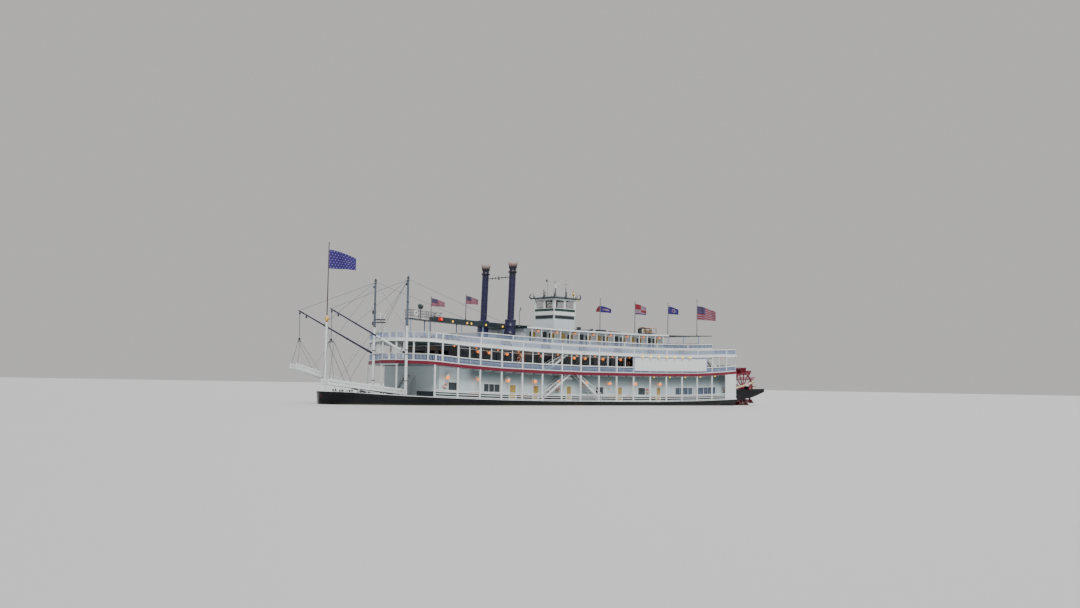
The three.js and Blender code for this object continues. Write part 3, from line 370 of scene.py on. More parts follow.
# %% [markdown]
# Lit lamps give their own light, and panes are dark, smooth and partly clear, so that the
# rooms behind them read as rooms. Both keep a little unevenness, because blown and rolled
# glass is never quite flat.


# %% Glass and lamplight
def glow_finish(name, colour, strength):
    finish = Finish(name, "lamp_glass", Roughness=0.2, Emission_Strength=strength)
    warm = finish.noise(25.0)
    finish.feed("Base Color", finish.mix(colour, shade(colour, 0.7), warm))
    finish.feed("Emission Color", finish.mix(colour, shade(colour, 0.6), warm))
    return finish


def glass_finish(name, alpha):
    finish = Finish(name, "window_glass", Roughness=0.06, Alpha=alpha, IOR=1.5)
    ripple = finish.noise(6.0)
    return finish.skin(finish.mix((0.03, 0.05, 0.06), (0.09, 0.12, 0.13), ripple), None, ripple, 0.1, 0.004)


def saloon_finish():
    """Tall curtained windows: dark glass, with drapes showing faintly and a few bays with painted warm lamplight.
    """
    finish = Finish("saloon windows", "window_glass", Specular_IOR_Level=0.6)
    fold = finish.noise(1.0, finish.place((38, 38, 1.2)), 3.0)
    lamplit_bay = finish.noise(5.0, finish.place((1, 1, 0.1)), 1.0)
    dark = finish.mix((0.010, 0.013, 0.020), (0.045, 0.055, 0.070), finish.step(fold, 0.4, 0.7))
    # Painted light: a few bays take a warm orange, as if lamplit rooms glowed behind the glass.
    warm = finish.mix(dark, (0.28, 0.12, 0.045), finish.step(lamplit_bay, 0.56, 0.66) * 0.7)
    return finish.skin(warm, fold * 0.2 + 0.12, finish.noise(9.0), 0.08, 0.004)


lamp_orange = glow_finish("orange lamp glass", (1.0, 0.25, 0.03), 1.6)
lamp_yellow = glow_finish("yellow lamp glass", (1.0, 0.58, 0.03), 2.4)
glass = glass_finish("window glass", 0.6)
clear_glass = glass_finish("clear glass", 0.14)
saloon_glass = saloon_finish()

# %% [markdown]
# Now the solids get their finishes. The table leaves out which side or end of the boat a
# solid is on, so like pieces are painted together. What it doesn't name is white trim.

# %% Paint the solids
PAINTS = [
    (hull_black, "hull wheel_beam rudder"), (main_deck_paint, "main_deck"),
    (second_deck_paint, "second_deck"), (third_deck_paint, "third_deck texas_roof"),
    (raised_deck_paint, "raised_deck"), (shaded_wall_paint, "main_house_wall"),
    (saloon_glass, "second_house_wall"), (cabin_wall, "texas_wall pilothouse"),
    (teal, "pilothouse_roof bridge_walk aft_canopy"), (steel, "boilers engine"),
    (navy, "stack boom"), (shadow_blue, "stack_spreader"), (staff_paint, "jackstaff"),
    (wheel_red, "paddle_wheel"), (cream, "pitman"),
]
finish_of = {name: finish for finish, names in PAINTS for name in names.split()}


def paint(piece, finish):
    piece.data.materials.clear()
    piece.data.materials.append(finish.material)


for node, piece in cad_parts.items():
    plain = node
    for where in ("starboard_", "port_", "bow_", "stern_"):
        plain = plain.replace(where, "")
    paint(piece, finish_of.get(plain, white_trim))
print("painted", len(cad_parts))

# %% [markdown]
# Everything new starts as a primitive, is shaped in edit mode and then copied. These few
# helpers are the hands: they clear the selection, start a block, a bar or a hoop in place,
# pick faces by where they lie, and lay one model out many times in a single mesh.


# %% Hands
def deselect():
    if bpy.context.mode != "OBJECT":
        bpy.ops.object.mode_set(mode="OBJECT")
    bpy.ops.object.select_all(action="DESELECT")


def take(piece):
    deselect()
    piece.select_set(True)
    bpy.context.view_layer.objects.active = piece


def settle(name):
    """Names the primitive just added and moves its place into its mesh."""
    piece = bpy.context.object
    piece.name = name
    bpy.ops.object.transform_apply(location=True, rotation=True, scale=True)
    return piece


def block(name, low, high):
    deselect()
    size = [b - a for a, b in zip(low, high)]
    middle = [(a + b) / 2 for a, b in zip(low, high)]
    bpy.ops.mesh.primitive_cube_add(size=1, location=middle, scale=size)
    return settle(name)


def round_bar(name, start, end, radius, end_radius=None, sides=8):
    deselect()
    a, b = Vector(start), Vector(end)
    bpy.ops.mesh.primitive_cone_add(
        vertices=sides, radius1=radius, radius2=radius if end_radius is None else end_radius,
        depth=(b - a).length, location=(a + b) / 2, rotation=(b - a).to_track_quat("Z", "Y").to_euler())
    return settle(name)


def square_bar(name, start, end, width, depth):
    """A timber between two points, its depth upright where it can be."""
    deselect()
    a, b = Vector(start), Vector(end)
    along = (b - a).normalized()
    side = along.cross(Vector((0, 0, 1)))
    side = side.normalized() if side.length > 0.01 else Vector((0, 1, 0))
    turn = Matrix((side, side.cross(along) * -1, along)).transposed().to_euler()
    bpy.ops.mesh.primitive_cube_add(
        size=1, location=(a + b) / 2, rotation=turn, scale=(width, depth, (b - a).length))
    return settle(name)


def hoop(name, radius, thickness, segments, place=(0, 0, 0), turn=(math.pi / 2, 0, 0)):
    deselect()
    bpy.ops.mesh.primitive_torus_add(major_radius=radius, minor_radius=thickness, major_segments=segments,
                                     minor_segments=8, location=place, rotation=turn)
    return settle(name)


def choose(piece, test):
    """Goes into edit mode with the faces selected for which test(centre, normal) is true."""
    take(piece)
    bpy.ops.object.mode_set(mode="EDIT")
    bpy.ops.mesh.select_mode(type="FACE")
    bpy.ops.mesh.select_all(action="DESELECT")
    shape = bmesh.from_edit_mesh(piece.data)
    for face in shape.faces:
        face.select_set(bool(test(face.calc_center_median(), face.normal)))
    bmesh.update_edit_mesh(piece.data)


def choose_top(piece):
    choose(piece, lambda centre, normal: normal.z > 0.9)


def extrude(move, grow=None, centre=(0, 0, 0)):
    """Draws the chosen faces out by a move, and then resizes them about a centre."""
    bpy.ops.mesh.extrude_region_move(TRANSFORM_OT_translate={"value": move})
    if grow:
        bpy.ops.transform.resize(value=grow, center_override=centre)


def leave_edit_mode():
    bpy.ops.object.mode_set(mode="OBJECT")


def hollow(piece, axis, thickness):
    """Makes a tube of a block: its two faces across an axis are inset, opened and bridged."""
    choose(piece, lambda centre, normal: abs(normal[axis]) > 0.9)
    bpy.ops.mesh.inset(thickness=thickness)
    bpy.ops.mesh.delete(type="FACE")
    bpy.ops.mesh.select_all(action="SELECT")
    bpy.ops.mesh.region_to_loop()
    bpy.ops.mesh.bridge_edge_loops()
    leave_edit_mode()
    return piece


def done(piece, angle=35):
    """Back to object mode, with smooth faces wherever they meet at less than an angle."""
    take(piece)
    bpy.ops.object.shade_smooth_by_angle(angle=math.radians(angle))
    return piece


def bevelled(piece, width=0.001, segments=1):
    """Adds a bevel modifier and applies it."""
    return finished(piece, "BEVEL", width=width, segments=segments)


def finished(piece, kind, **settings):
    take(piece)
    modifier = piece.modifiers.new(kind.title(), kind)
    for key, value in settings.items():
        setattr(modifier, key, value)
    bpy.ops.object.modifier_apply(modifier=modifier.name)
    return piece


def moved(piece, place):
    piece.data.transform(place)
    return piece


def face_outwards(piece):
    take(piece)
    bpy.ops.object.mode_set(mode="EDIT")
    bpy.ops.mesh.select_all(action="SELECT")
    bpy.ops.mesh.normals_make_consistent(inside=False)
    leave_edit_mode()
    return piece


def join(name, pieces):
    take(pieces[0])
    for piece in pieces:
        piece.select_set(True)
    bpy.ops.object.join()
    bpy.context.object.name = name
    return bpy.context.object


def new_piece(name, mesh):
    piece = bpy.data.objects.new(name, mesh)
    bpy.context.scene.collection.objects.link(piece)
    return piece


def repeat(name, model, places):
    """One mesh with a copy of the model at each place, given as a matrix. The model goes."""
    mesh = model.data
    corners = np.array([v.co[:] for v in mesh.vertices])
    faces = [tuple(face.vertices) for face in mesh.polygons]
    smooth = [face.use_smooth for face in mesh.polygons]
    points, rings = [], []
    for number, place in enumerate(places):
        turn = np.array(place.to_3x3())
        points.append(corners @ turn.T + np.array(place.translation))
        rings += [tuple(k + number * len(corners) for k in ring) for ring in faces]
    made = bpy.data.meshes.new(name)
    made.from_pydata(np.concatenate(points).tolist(), [], rings)
    made.polygons.foreach_set("use_smooth", smooth * len(places))
    bpy.data.objects.remove(model)
    return new_piece(name, made)


def dress(piece, finish, body="boat"):
    paint(piece, finish)
    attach(piece, body)
    return piece


def dress_all(name, pieces, finish, body="boat"):
    """Joins pieces under a name and dresses them as one."""
    return dress(join(name, pieces), finish, body)


def dress_copies(name, model, places, finish, body="boat"):
    return dress(repeat(name, model, places), finish, body)


def shift(x, y, z):
    return Matrix.Translation((x, y, z))


def about(axis, angle):
    return Matrix.Rotation(angle, 4, axis)


def at(x, y, z, turn=0.0, scale=1.0):
    """A place as a matrix: where it is, how far round the upright axis, and how big."""
    return shift(x, y, z) @ about("Z", turn) @ Matrix.Scale(scale, 4)


def upright(x, y, low, high):
    """The place of a model one metre tall that is stretched between two heights."""
    return shift(x, y, low) @ Matrix.Diagonal((1, 1, high - low, 1))


def both_sides(distances, half, deck, rise=0.0, scale=1.0):
    """Places on each side of the boat that face outwards, at a rise above a deck."""
    return [at(aft(s), side * half, top_of[deck](aft(s)) + rise, 0 if side > 0 else math.pi, scale)
            for s in distances for _, side in SIDES]


# %% [markdown]
# The white bands along the upper decks are railings full of turned balusters. One baluster
# is a block, cut into short lengths and swollen in the middle. It is laid out along the
# edge of each deck, round the blunt front, down the side and across the stern, by walking
# the deck's own outline at an even pace.


# %% Walks along the deck edges
def edge_walk(node, inset):
    """The edge of a deck's port half, set in, from the middle of the front to that of the stern."""
    stations, halves = profile(node, lambda rows: rows[:, 1].max())
    rim = [Vector(pair) for pair in zip(stations, halves)][::-1]
    rim = [Vector((rim[0].x, 0)), *rim, Vector((rim[-1].x, 0))]
    runs = [(b - a).normalized() for a, b in zip(rim, rim[1:])]
    inward = [Vector((-run.y, run.x)) for run in runs]
    inward = [inward[0], *inward, inward[-1]]
    found = []
    for corner, before, after in zip(rim, inward, inward[1:]):
        found.append(corner + (before + after) * inset / (1 + before.dot(after)))
    return [(corner.x, corner.y) for corner in found]


def paces(path, pace, start=0.0):
    """Points at an even pace along a path of (x, y), each with the path's heading."""
    found, left = [], start
    for (ax, ay), (bx, by) in zip(path, path[1:]):
        length = math.hypot(bx - ax, by - ay)
        while left < length:
            share = left / length
            found.append((ax + (bx - ax) * share, ay + (by - ay) * share, math.atan2(by - ay, bx - ax)))
            left += pace
        left -= length
    return found


# %% Balusters
RAIL_TOPS = {"second_deck": 0.084, "third_deck": 0.084, "raised_deck": 0.066}
RAIL_INSET = 0.013
RAIL_BAR = 0.009
FOOT_BAR = 0.012
BALUSTER_PACE = 0.0195


def baluster(height):
    piece = block("baluster", (-0.0020, -0.0020, 0), (0.0020, 0.0020, height))
    choose(piece, lambda centre, normal: abs(normal.z) < 0.1)
    bpy.ops.mesh.subdivide(number_cuts=2)
    choose(piece, lambda centre, normal: abs(normal.z) < 0.1 and abs(centre.z - height / 2) < height / 5)
    bpy.ops.transform.resize(value=(1.7, 1.7, 1.0))
    leave_edit_mode()
    return piece


for deck, top in RAIL_TOPS.items():
    walk = paces(edge_walk(deck, RAIL_INSET), BALUSTER_PACE, BALUSTER_PACE / 2)
    for name, side in SIDES:
        places = [at(x, side * y, top_of[deck](x) + FOOT_BAR - 0.001, side * turn) for x, y, turn in walk]
        model = baluster(top - RAIL_BAR - FOOT_BAR + 0.002)
        # The balusters are white, darkened as painted shade.
        dress_copies(f"{deck}_{name}_balusters", model, places, shaded_rail_paint)
    print(deck, "balusters a side:", len(walk))

# %% [markdown]
# On the main deck the railing is plainer: more level bars between the posts. On the second
# deck thin stanchions stand halfway between the main posts, and a flat cap lies on each of
# the upper rails, where people lean.


# %% Main deck bars, rail caps and stanchions
POST_PITCH = 0.3523
FIRST_POST = 1.141
POSTS = [aft(FIRST_POST + k * POST_PITCH) for k in range(1, 17)]
MID_POSTS = [x - POST_PITCH / 2 for x in POSTS[:-1]]
SIDE_LINE = 0.678
MAIN_BARS = (0.012, 0.066)


def ribbon(name, path, low, high, width):
    """A flat strip along a path of (x, y), between two heights given as functions of x."""
    corners, faces = [], []
    for k, (x, y) in enumerate(path):
        before, after = path[max(k - 1, 0)], path[min(k + 1, len(path) - 1)]
        run = Vector((after[0] - before[0], after[1] - before[1])).normalized()
        out = Vector((run.y, -run.x)) * width / 2
        corners += [(x + out.x, y + out.y, low(x)), (x - out.x, y - out.y, low(x)),
                    (x - out.x, y - out.y, high(x)), (x + out.x, y + out.y, high(x))]
    for k in range(len(path) - 1):
        for side in range(4):
            a, b = 4 * k + side, 4 * k + (side + 1) % 4
            faces.append((a, b, b + 4, a + 4))
    last = 4 * (len(path) - 1)
    faces += [(3, 2, 1, 0), (last, last + 1, last + 2, last + 3)]
    mesh = bpy.data.meshes.new(name)
    mesh.from_pydata(corners, [], faces)
    return face_outwards(new_piece(name, mesh))


def on_side(path, side):
    return [(x, side * y) for x, y in path]


def over(deck, rise):
    return lambda x: top_of[deck](x) + rise


def rails_and_stanchions(name, side):
    for deck, top in RAIL_TOPS.items():
        path = on_side(edge_walk(deck, RAIL_INSET), side)
        cap = ribbon(f"{deck}_{name}_rail_cap", path, over(deck, top), over(deck, top + 0.004), 0.017)
        dress(cap, white_trim)
    stations = [x for x, _ in edge_walk("second_deck", 0.0) if x < aft(FIRST_POST)][:-1]
    path = on_side([(x, SIDE_LINE) for x in [aft(FIRST_POST), *stations]], side)
    bars = [ribbon("bar", path, over("main_deck", low), over("main_deck", low + 0.010), 0.009)
            for low in MAIN_BARS]
    dress_all(f"main_deck_{name}_extra_bars", bars, white_trim)
    foot = over("second_deck", RAIL_TOPS["second_deck"])
    places = [upright(x, side * SIDE_LINE, foot(x), under_of["third_deck"](x)) for x in MID_POSTS]
    model = bevelled(block("stanchion", (-0.0045, -0.0045, 0), (0.0045, 0.0045, 1)))
    dress_copies(f"second_deck_{name}_stanchions", model, places, white_trim)


for name, side in SIDES:
    rails_and_stanchions(name, side)

# %% [markdown]
# Windows and doors fill the openings of the walls. An opening's two upright edges are
# faces of the wall that look along it, so they are found in its mesh, and each opening then
# knows its corners, also where the deck under it slopes. A casing is a block whose two
# large faces are inset, opened and bridged.


# %% Find the openings of the walls
WAYS = {"port": (0, 1, 0), "starboard": (0, -1, 0), "bow": (1, 0, 0), "stern": (-1, 0, 0)}


class Opening:
    """An opening in a wall: the place of its foot's middle, its size, and where it faces."""

    def __init__(self, low, high, outward, face):
        axis = 1 if outward.y == 0 else 0
        ends = [Vector((0, 0, edge[1])) for edge in (low, high)]
        for end, edge in zip(ends, (low, high)):
            end[axis] = edge[0]
            end[1 - axis] = face
        self.foot = (ends[0] + ends[1]) / 2
        self.width = high[0] - low[0]
        self.height = low[2] - low[1]
        self.along = (ends[1] - ends[0]) / self.width
        self.outward = outward

    def matrix(self, out=0.0):
        """Where a model goes that stands on z 0 about x 0 and faces +Y."""
        level = self.outward.cross(Vector((0, 0, 1)))
        slope = self.along * (1 if self.along.dot(level) > 0 else -1)
        turn = Matrix((slope, self.outward, Vector((0, 0, 1)))).transposed().to_4x4()
        return Matrix.Translation(self.foot + self.outward * out) @ turn


def wall_openings(node, outward):
    axis = 1 if outward.y == 0 else 0
    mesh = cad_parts[node].data
    jambs = {}
    for face in mesh.polygons:
        if abs(face.normal[axis]) > 0.99:
            corners = [mesh.vertices[k].co for k in face.vertices]
            key = (round(corners[0][axis], 4), face.normal[axis] > 0)
            jambs.setdefault(key, []).extend(corner.z for corner in corners)
    edges = sorted((place, rising, min(heights), max(heights))
                   for (place, rising), heights in jambs.items())
    low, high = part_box(node)
    face = high[1 - axis] if sum(outward) > 0 else low[1 - axis]
    pairs = [(a, b) for a, b in zip(edges, edges[1:]) if a[1] and not b[1]]
    return [Opening((a[0], a[2], a[3]), (b[0], b[2], b[3]), outward, face) for a, b in pairs]


def openings(house, *ways):
    return [found for way in ways for found in wall_openings(f"{house}_{way}_wall", Vector(WAYS[way]))]


HOUSES = ("main_house", "second_house", "texas")
WALLS = {house: openings(house, "port", "starboard") for house in HOUSES}
ENDS = {house: openings(house, "bow", "stern") for house in HOUSES}
print("openings", {house: (len(WALLS[house]), len(ENDS[house])) for house in HOUSES})


# %% Casings, panes and doors
RIM = 0.009
LAP = 0.004
DOOR_SILL = 0.05
CASING_BAR_PITCH = 0.085
LEAF_GAP = 0.003


def casing(width, height, bars=0):
    """A casing with upright bars, about x 0, on z 0, facing +Y."""
    rim = block("casing", (-width / 2 - RIM, -0.008, -RIM), (width / 2 + RIM, 0.005, height + RIM))
    parts = [hollow(rim, 1, RIM + LAP)]
    for k in range(1, bars + 1):
        x = -width / 2 + k * width / (bars + 1)
        parts.append(block("bar", (x - 0.003, -0.008, 0), (x + 0.003, 0.001, height)))
    return join("casing", parts)


def barred_casing(width, height):
    return casing(width, height, max(int(width / CASING_BAR_PITCH) - 1, 0))


def pane(width, height):
    return bevelled(block("pane", (-width / 2, -0.006, 0), (width / 2, -0.003, height)), 0.0008)


def door_leaf(width, height):
    """A door with two sunk panels on its outer face."""
    piece = block("leaf", (-width / 2 + 0.001, -0.009, 0.001), (width / 2 - 0.001, -0.003, height - 0.001))
    choose(piece, lambda centre, normal: normal.y > 0.9)
    bpy.ops.mesh.subdivide(number_cuts=1)
    choose(piece, lambda centre, normal: normal.y > 0.9)
    bpy.ops.mesh.inset(thickness=0.007, use_individual=True)
    extrude((0, -0.002, 0))
    leave_edit_mode()
    return piece


def half(model_of, side):
    """Makes a model for one half of an opening, beside its middle bar."""
    return lambda width, height: moved(
        model_of(width / 2 - LEAF_GAP, height), shift(side * (width / 4 + LEAF_GAP / 2), 0, 0))


def fit(name, found, model_of, finish):
    """Models a piece once for each size of opening, and fits one in every opening."""
    groups = {}
    for opening in found:
        groups.setdefault((round(opening.width, 3), round(opening.height, 3)), []).append(opening.matrix())
    parts = [repeat("part", model_of(*size), places) for size, places in groups.items()]
    return dress_all(name, parts, finish)


def is_door(opening):
    return opening.foot.z - top_of["main_deck"](opening.foot.x) < DOOR_SILL


main_doors = [opening for opening in WALLS["main_house"] if is_door(opening)]
main_windows = [opening for opening in WALLS["main_house"] if not is_door(opening)]
fit("main_house_casings", WALLS["main_house"] + ENDS["main_house"], barred_casing, white_trim)
fit("main_house_panes", main_windows, pane, glass)
fit("main_house_doors", main_doors, door_leaf, varnish)
fit("main_end_doors", ENDS["main_house"], door_leaf, cabin_wall)
fit("second_house_casings", WALLS["second_house"] + ENDS["second_house"], casing, shadow_blue)
fit("second_house_panes", WALLS["second_house"], pane, glass)
fit("texas_casings", WALLS["texas"] + ENDS["texas"],
    lambda width, height: casing(width, height, 1), white_trim)
fit("texas_doors", WALLS["texas"], half(door_leaf, -1), varnish)
fit("texas_lights", WALLS["texas"], half(pane, 1), glass)


CABIN_POST = 0.0055
STORE_DOOR = (0.072, 0.155)


def texas_front():
    """Thin posts from the raised deck to the eave, and store doors and shutters between cabins."""
    posts, doors, shutters = [], [], []
    taken = [opening.foot.x for opening in WALLS["texas"]]
    for k in range(16):
        x = aft(2.93 + k * POST_PITCH / 2)
        low, high = top_of["raised_deck"](x), under_of["texas_roof"](x)
        middle = x - POST_PITCH / 4 - 0.040
        free = k < 15 and all(abs(middle - other) > 0.090 for other in taken)
        for _, side in SIDES:
            y = side * (roof_half(x) - 0.012)
            posts.append(block("post", (x - CABIN_POST, y - CABIN_POST, low - 0.001),
                               (x + CABIN_POST, y + CABIN_POST, high + 0.001)))
            if free:
                place = at(middle, side * 0.3705, low + 0.002, 0 if side > 0 else math.pi)
                (doors if (k // 2) % 2 else shutters).append(moved(door_leaf(*STORE_DOOR), place))
    dress_all("texas_posts", posts, white_trim)
    dress_all("texas_store_doors", doors, varnish)
    dress_all("texas_shutters", shutters, shadow_blue)


texas_front()
print("doors", len(main_doors), "windows", len(main_windows))

# %% [markdown]
# Many fittings on a boat are turned shapes: bollards, lamp globes, vents, finials, stacks.
# By hand they come from a filled circle that is extruded upwards again and again, each new
# ring made wider or narrower. `turned` does just that from a short list of rings.


# %% Turned shapes
def turned(name, rings, sides=12, place=(0, 0, 0), smooth=40):
    """A round shape through rings of (radius, height), standing at a place."""
    deselect()
    radius, height = rings[0]
    bpy.ops.mesh.primitive_circle_add(
        vertices=sides, radius=radius, fill_type="NGON", location=(0, 0, height))
    piece = settle(name)
    bpy.ops.object.mode_set(mode="EDIT")
    bpy.ops.mesh.select_all(action="SELECT")
    for wide, high in rings[1:]:
        extrude((0, 0, high - height), (wide / radius, wide / radius, 1), (0, 0, high))
        radius, height = wide, high
    return done(moved(face_outwards(piece), Matrix.Translation(place)), smooth)


def ball(radius, middle, steps=6):
    """The rings of a ball, to be put among other rings."""
    angles = [math.pi * (k + 0.5) / steps for k in range(steps)]
    return [(radius * math.sin(angle), middle - radius * math.cos(angle)) for angle in angles]


# %% [markdown]
# Dusk is falling in the photo, so the lamps are lit. A wall lamp is a globe under a small
# hood on an arm. Deck lamps are bare bulbs under the deck edges, in a row.

# %% Lamps
LAMP_ROWS = [
    # name, places aft, deck, wall's half breadth, height above the deck, size
    ("main_lamp", (1.40, 1.895, 2.38, 2.85, 3.30, 3.79, 4.26, 4.79, 5.32), "main_deck", 0.550, 0.245, 1.25),
    ("second_lamp", (1.91, 2.09, 2.39, 2.65, 3.01, 3.37, 3.60, 3.81, 4.16, 4.52, 5.04, 5.57),
     "second_deck", 0.520, 0.185, 1.0),
    ("texas_lamp", (3.09, 3.44, 3.79, 4.15, 4.50, 4.85, 5.20, 5.55), "raised_deck", 0.360, 0.160, 0.75),
]
GLOBE = 0.019
LAMP_ARM = 0.042


def wall_lamps(name, places, finish):
    globe = turned("globe", ball(GLOBE, 0.0, 7), 12, (0, LAMP_ARM, 0))
    dress_copies(f"{name}_globes", globe, places, finish)
    hood_rings = [(0.020, 0.012), (0.014, 0.022), (0.005, 0.028), (0.002, 0.034)]
    hood = turned("hood", hood_rings, 12, (0, LAMP_ARM, 0))
    plate = bevelled(block("plate", (-0.008, -0.001, -0.012), (0.008, 0.004, 0.03)))
    arm = round_bar("arm", (0, 0, 0.024), (0, LAMP_ARM, 0.031), 0.0025)
    dress_copies(f"{name}_fittings", join("fitting", [hood, plate, arm]), places, white_trim)


def ceiling_bulbs(name, x_places, y, height, finish):
    places = [at(x, side * y, height(x)) for _, side in SIDES for x in x_places]
    bulb = turned("bulb", [*ball(0.0095, -0.014, 6), (0.004, -0.004), (0.004, 0.001)], 10)
    dress_copies(name, bulb, places, finish)


for name, row, deck, wall, rise, size in LAMP_ROWS:
    wall_lamps(name, both_sides(row, wall, deck, rise, size), lamp_orange)
second_ceiling, third_ceiling = under_of["second_deck"], under_of["third_deck"]
engine_bays = [x - POST_PITCH / 2 for x in POSTS if x < aft(4.8)]
walk_places = [aft(distance) for distance in (1.90, 2.14, 2.21, 2.46, 2.75, 3.00)]
saloon_places = [aft(1.75 + k * POST_PITCH) for k in range(13)]
hall_places = [aft(1.5 + k * POST_PITCH) for k in range(15)]
ceiling_bulbs("main_ceiling_bulbs", engine_bays, 0.60, second_ceiling, lamp_yellow)
ceiling_bulbs("second_ceiling_bulbs", POSTS, 0.60, third_ceiling, lamp_orange)
ceiling_bulbs("bridge_walk_bulbs", walk_places, 0.068, over("third_deck", 0.316), lamp_yellow)
ceiling_bulbs("saloon_bulbs", saloon_places, 0.40, third_ceiling, lamp_orange)
ceiling_bulbs("main_saloon_bulbs", hall_places, 0.43, second_ceiling, lamp_orange)
print("lamps lit")

# %% [markdown]
# Stairs run up beside the houses between the decks. Each is two slanting strings with treads
# between them and a handrail on thin posts. A tread is modelled once and repeated up the
# slope, and the same function makes every flight from its foot and its head.

# %% Stairs
TREAD_RISE = 0.0205
HANDRAIL = Vector((0, 0, 0.088))
STAIRS = [
    # name, foot aft, foot deck, head aft, deck above, y
    ("forward_main_stair", 2.90, "main_deck", 3.42, "second_deck", 0.618),
    ("middle_main_stair", 4.06, "main_deck", 3.56, "second_deck", 0.618),
    ("second_stair", 3.03, "second_deck", 3.40, "third_deck", 0.598),
    ("stern_stair", 6.66, "second_deck", 6.33, "third_deck", 0.618),
]


def flight(name, foot, head, width):
    """A stair from foot to head, both points in the middle of its width, running along X."""
    foot, head = Vector(foot), Vector(head)
    count = int((head.z - foot.z) / TREAD_RISE)
    step = (head - foot) / (count + 1)
    depth = abs(step.x) * 1.15
    tread = block("tread", (-depth / 2, -width / 2, -0.0018), (depth / 2, width / 2, 0.0018))
    treads = repeat("treads", tread, [Matrix.Translation(foot + step * (k + 1)) for k in range(count)])
    parts = []
    for side in (-1, 1):
        out = Vector((0, side * width / 2, 0))
        parts.append(square_bar("string", foot + out + Vector((0, 0, 0.004)), head + out, 0.005, 0.024))
        parts.append(square_bar("rail", foot + out + HANDRAIL, head + out + HANDRAIL * 0.4, 0.006, 0.006))
        for share in (0.04, 0.3, 0.56, 0.82):
            base = foot.lerp(head, share) + out
            parts.append(square_bar("post", base, base + HANDRAIL * (1 - 0.6 * share), 0.005, 0.005))
    dress_all(f"{name}_strings", parts, white_trim)
    dress(done(treads), steel)


for name, foot, deck, head, above_deck, y in STAIRS:
    for side_name, side in SIDES:
        low = (aft(foot), side * y, top_of[deck](aft(foot)))
        high = (aft(head), side * y, under_of[above_deck](aft(head)) - 0.002)
        flight(f"{side_name}_{name}", low, high, 0.075)
flight("bow_stair", (aft(1.10), 0.0, top_of["main_deck"](aft(1.10))),
       (aft(1.296), 0.0, second_ceiling(aft(1.29)) - 0.1), 0.15)
print("flights of stairs:", 2 * len(STAIRS) + 1)

# %% [markdown]
# Beams cross the boat under each open deck, and people sit on slatted benches along the
# promenades and in rows under the canopies. Life rings hang on the walls. Each is modelled
# once.


# %% Beams, benches and life rings
BENCH_HALF = 0.075
BENCH_SEAT = 0.042


def deck_beams(deck, size):
    model = bevelled(block("beam", (-0.004, -0.672, -size), (0.004, 0.672, 0.0005)))
    places = [at(x, 0, under_of[deck](x)) for x in POSTS + MID_POSTS]
    dress_copies(f"{deck}_beams", model, places, white_trim)


def bench():
    """A slatted bench along X, its back towards -Y, standing on z 0."""
    parts = [block("slat", (-BENCH_HALF, y, BENCH_SEAT), (BENCH_HALF, y + 0.007, BENCH_SEAT + 0.0025))
             for y in (0.0, 0.010, 0.020, 0.030)]
    parts += [block("back", (-BENCH_HALF, -0.006, z), (BENCH_HALF, -0.0035, z + 0.008))
              for z in (0.058, 0.072)]
    for x in (-0.062, 0.062):
        parts.append(square_bar("leg", (x, 0.034, 0), (x, 0.030, BENCH_SEAT), 0.005, 0.005))
        parts.append(square_bar("leg", (x, 0.002, 0), (x, -0.005, 0.082), 0.005, 0.005))
    return join("bench", parts)


def bench_rows(deck, distances, places_across):
    return [at(aft(s), y, top_of[deck](aft(s)), math.pi / 2) for s in distances for y in places_across]


def ring_finish():
    finish = Finish("life ring", "white_paint", Coat_Weight=0.2)
    here = finish.place()
    band = finish.step((finish.part(here, "Z") + finish.part(here, "X")) % 0.038, 0.017, 0.019)
    striped = finish.mix((0.75, 0.13, 0.03), (0.78, 0.78, 0.74), band)
    scuffed = finish.mix(striped, (0.4, 0.35, 0.3), finish.step(finish.noise(90), 0.6, 0.8) * 0.3)
    return finish.skin(scuffed, None, finish.noise(160), 0.2, 0.0006)


deck_beams("second_deck", 0.012)
deck_beams("third_deck", 0.010)
bench_places = [
    *both_sides((1.86, 2.68, 3.10, 4.36, 4.73, 5.20, 5.55), 0.566, "main_deck"),
    *both_sides((2.02, 2.72, 4.14, 4.84, 5.55, 5.90), 0.536, "second_deck"),
    *both_sides((2.4, 3.1, 3.8, 4.5, 5.2, 5.9), 0.53, "third_deck"),
    *bench_rows("raised_deck", (5.82, 5.98, 6.14, 6.30, 6.46), (-0.30, -0.1, 0.1, 0.30)),
    *bench_rows("third_deck", (1.42, 1.58, 1.74), (-0.32, -0.11, 0.11, 0.32)),
]
dress_copies("benches", bench(), bench_places, bench_wood)
ring_places = [*both_sides((1.39, 3.30, 5.10, 6.90), 0.563, "main_deck", 0.15),
               *both_sides((2.62, 4.72), 0.53, "second_deck", 0.13)]
dress_copies("life_rings", done(hoop("ring", 0.027, 0.0075, 20)), ring_places, ring_finish())
print("benches", len(bench_places), "life rings", len(ring_places))

# %% [markdown]
# Low down, a half-round rub rail of timber and iron runs right round the guard, and lighter
# strakes follow it. They are ribbons along the edge of the main deck. The name boards only
# carry a moulded frame here: the boards themselves stay bare. Slats close the guard at the
# stern, and thin bars stand in the engine room's windows.


# %% Rub rails and name board frames
def rub_rails(name, side):
    path = on_side(edge_walk("main_deck", -0.002)[:-1], side)
    rail = ribbon(f"{name}_rub_rail", path, over("main_deck", -0.019), over("main_deck", -0.006), 0.012)
    dress(bevelled(rail, 0.0035, 2), hull_black)
    lip = ribbon(f"{name}_deck_lip", [(x, y - side * 0.004) for x, y in path],
                 over("main_deck", -0.001), over("main_deck", 0.006), 0.009)
    dress(lip, white_trim)


BOARD_LOW, BOARD_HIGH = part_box("port_name_board")


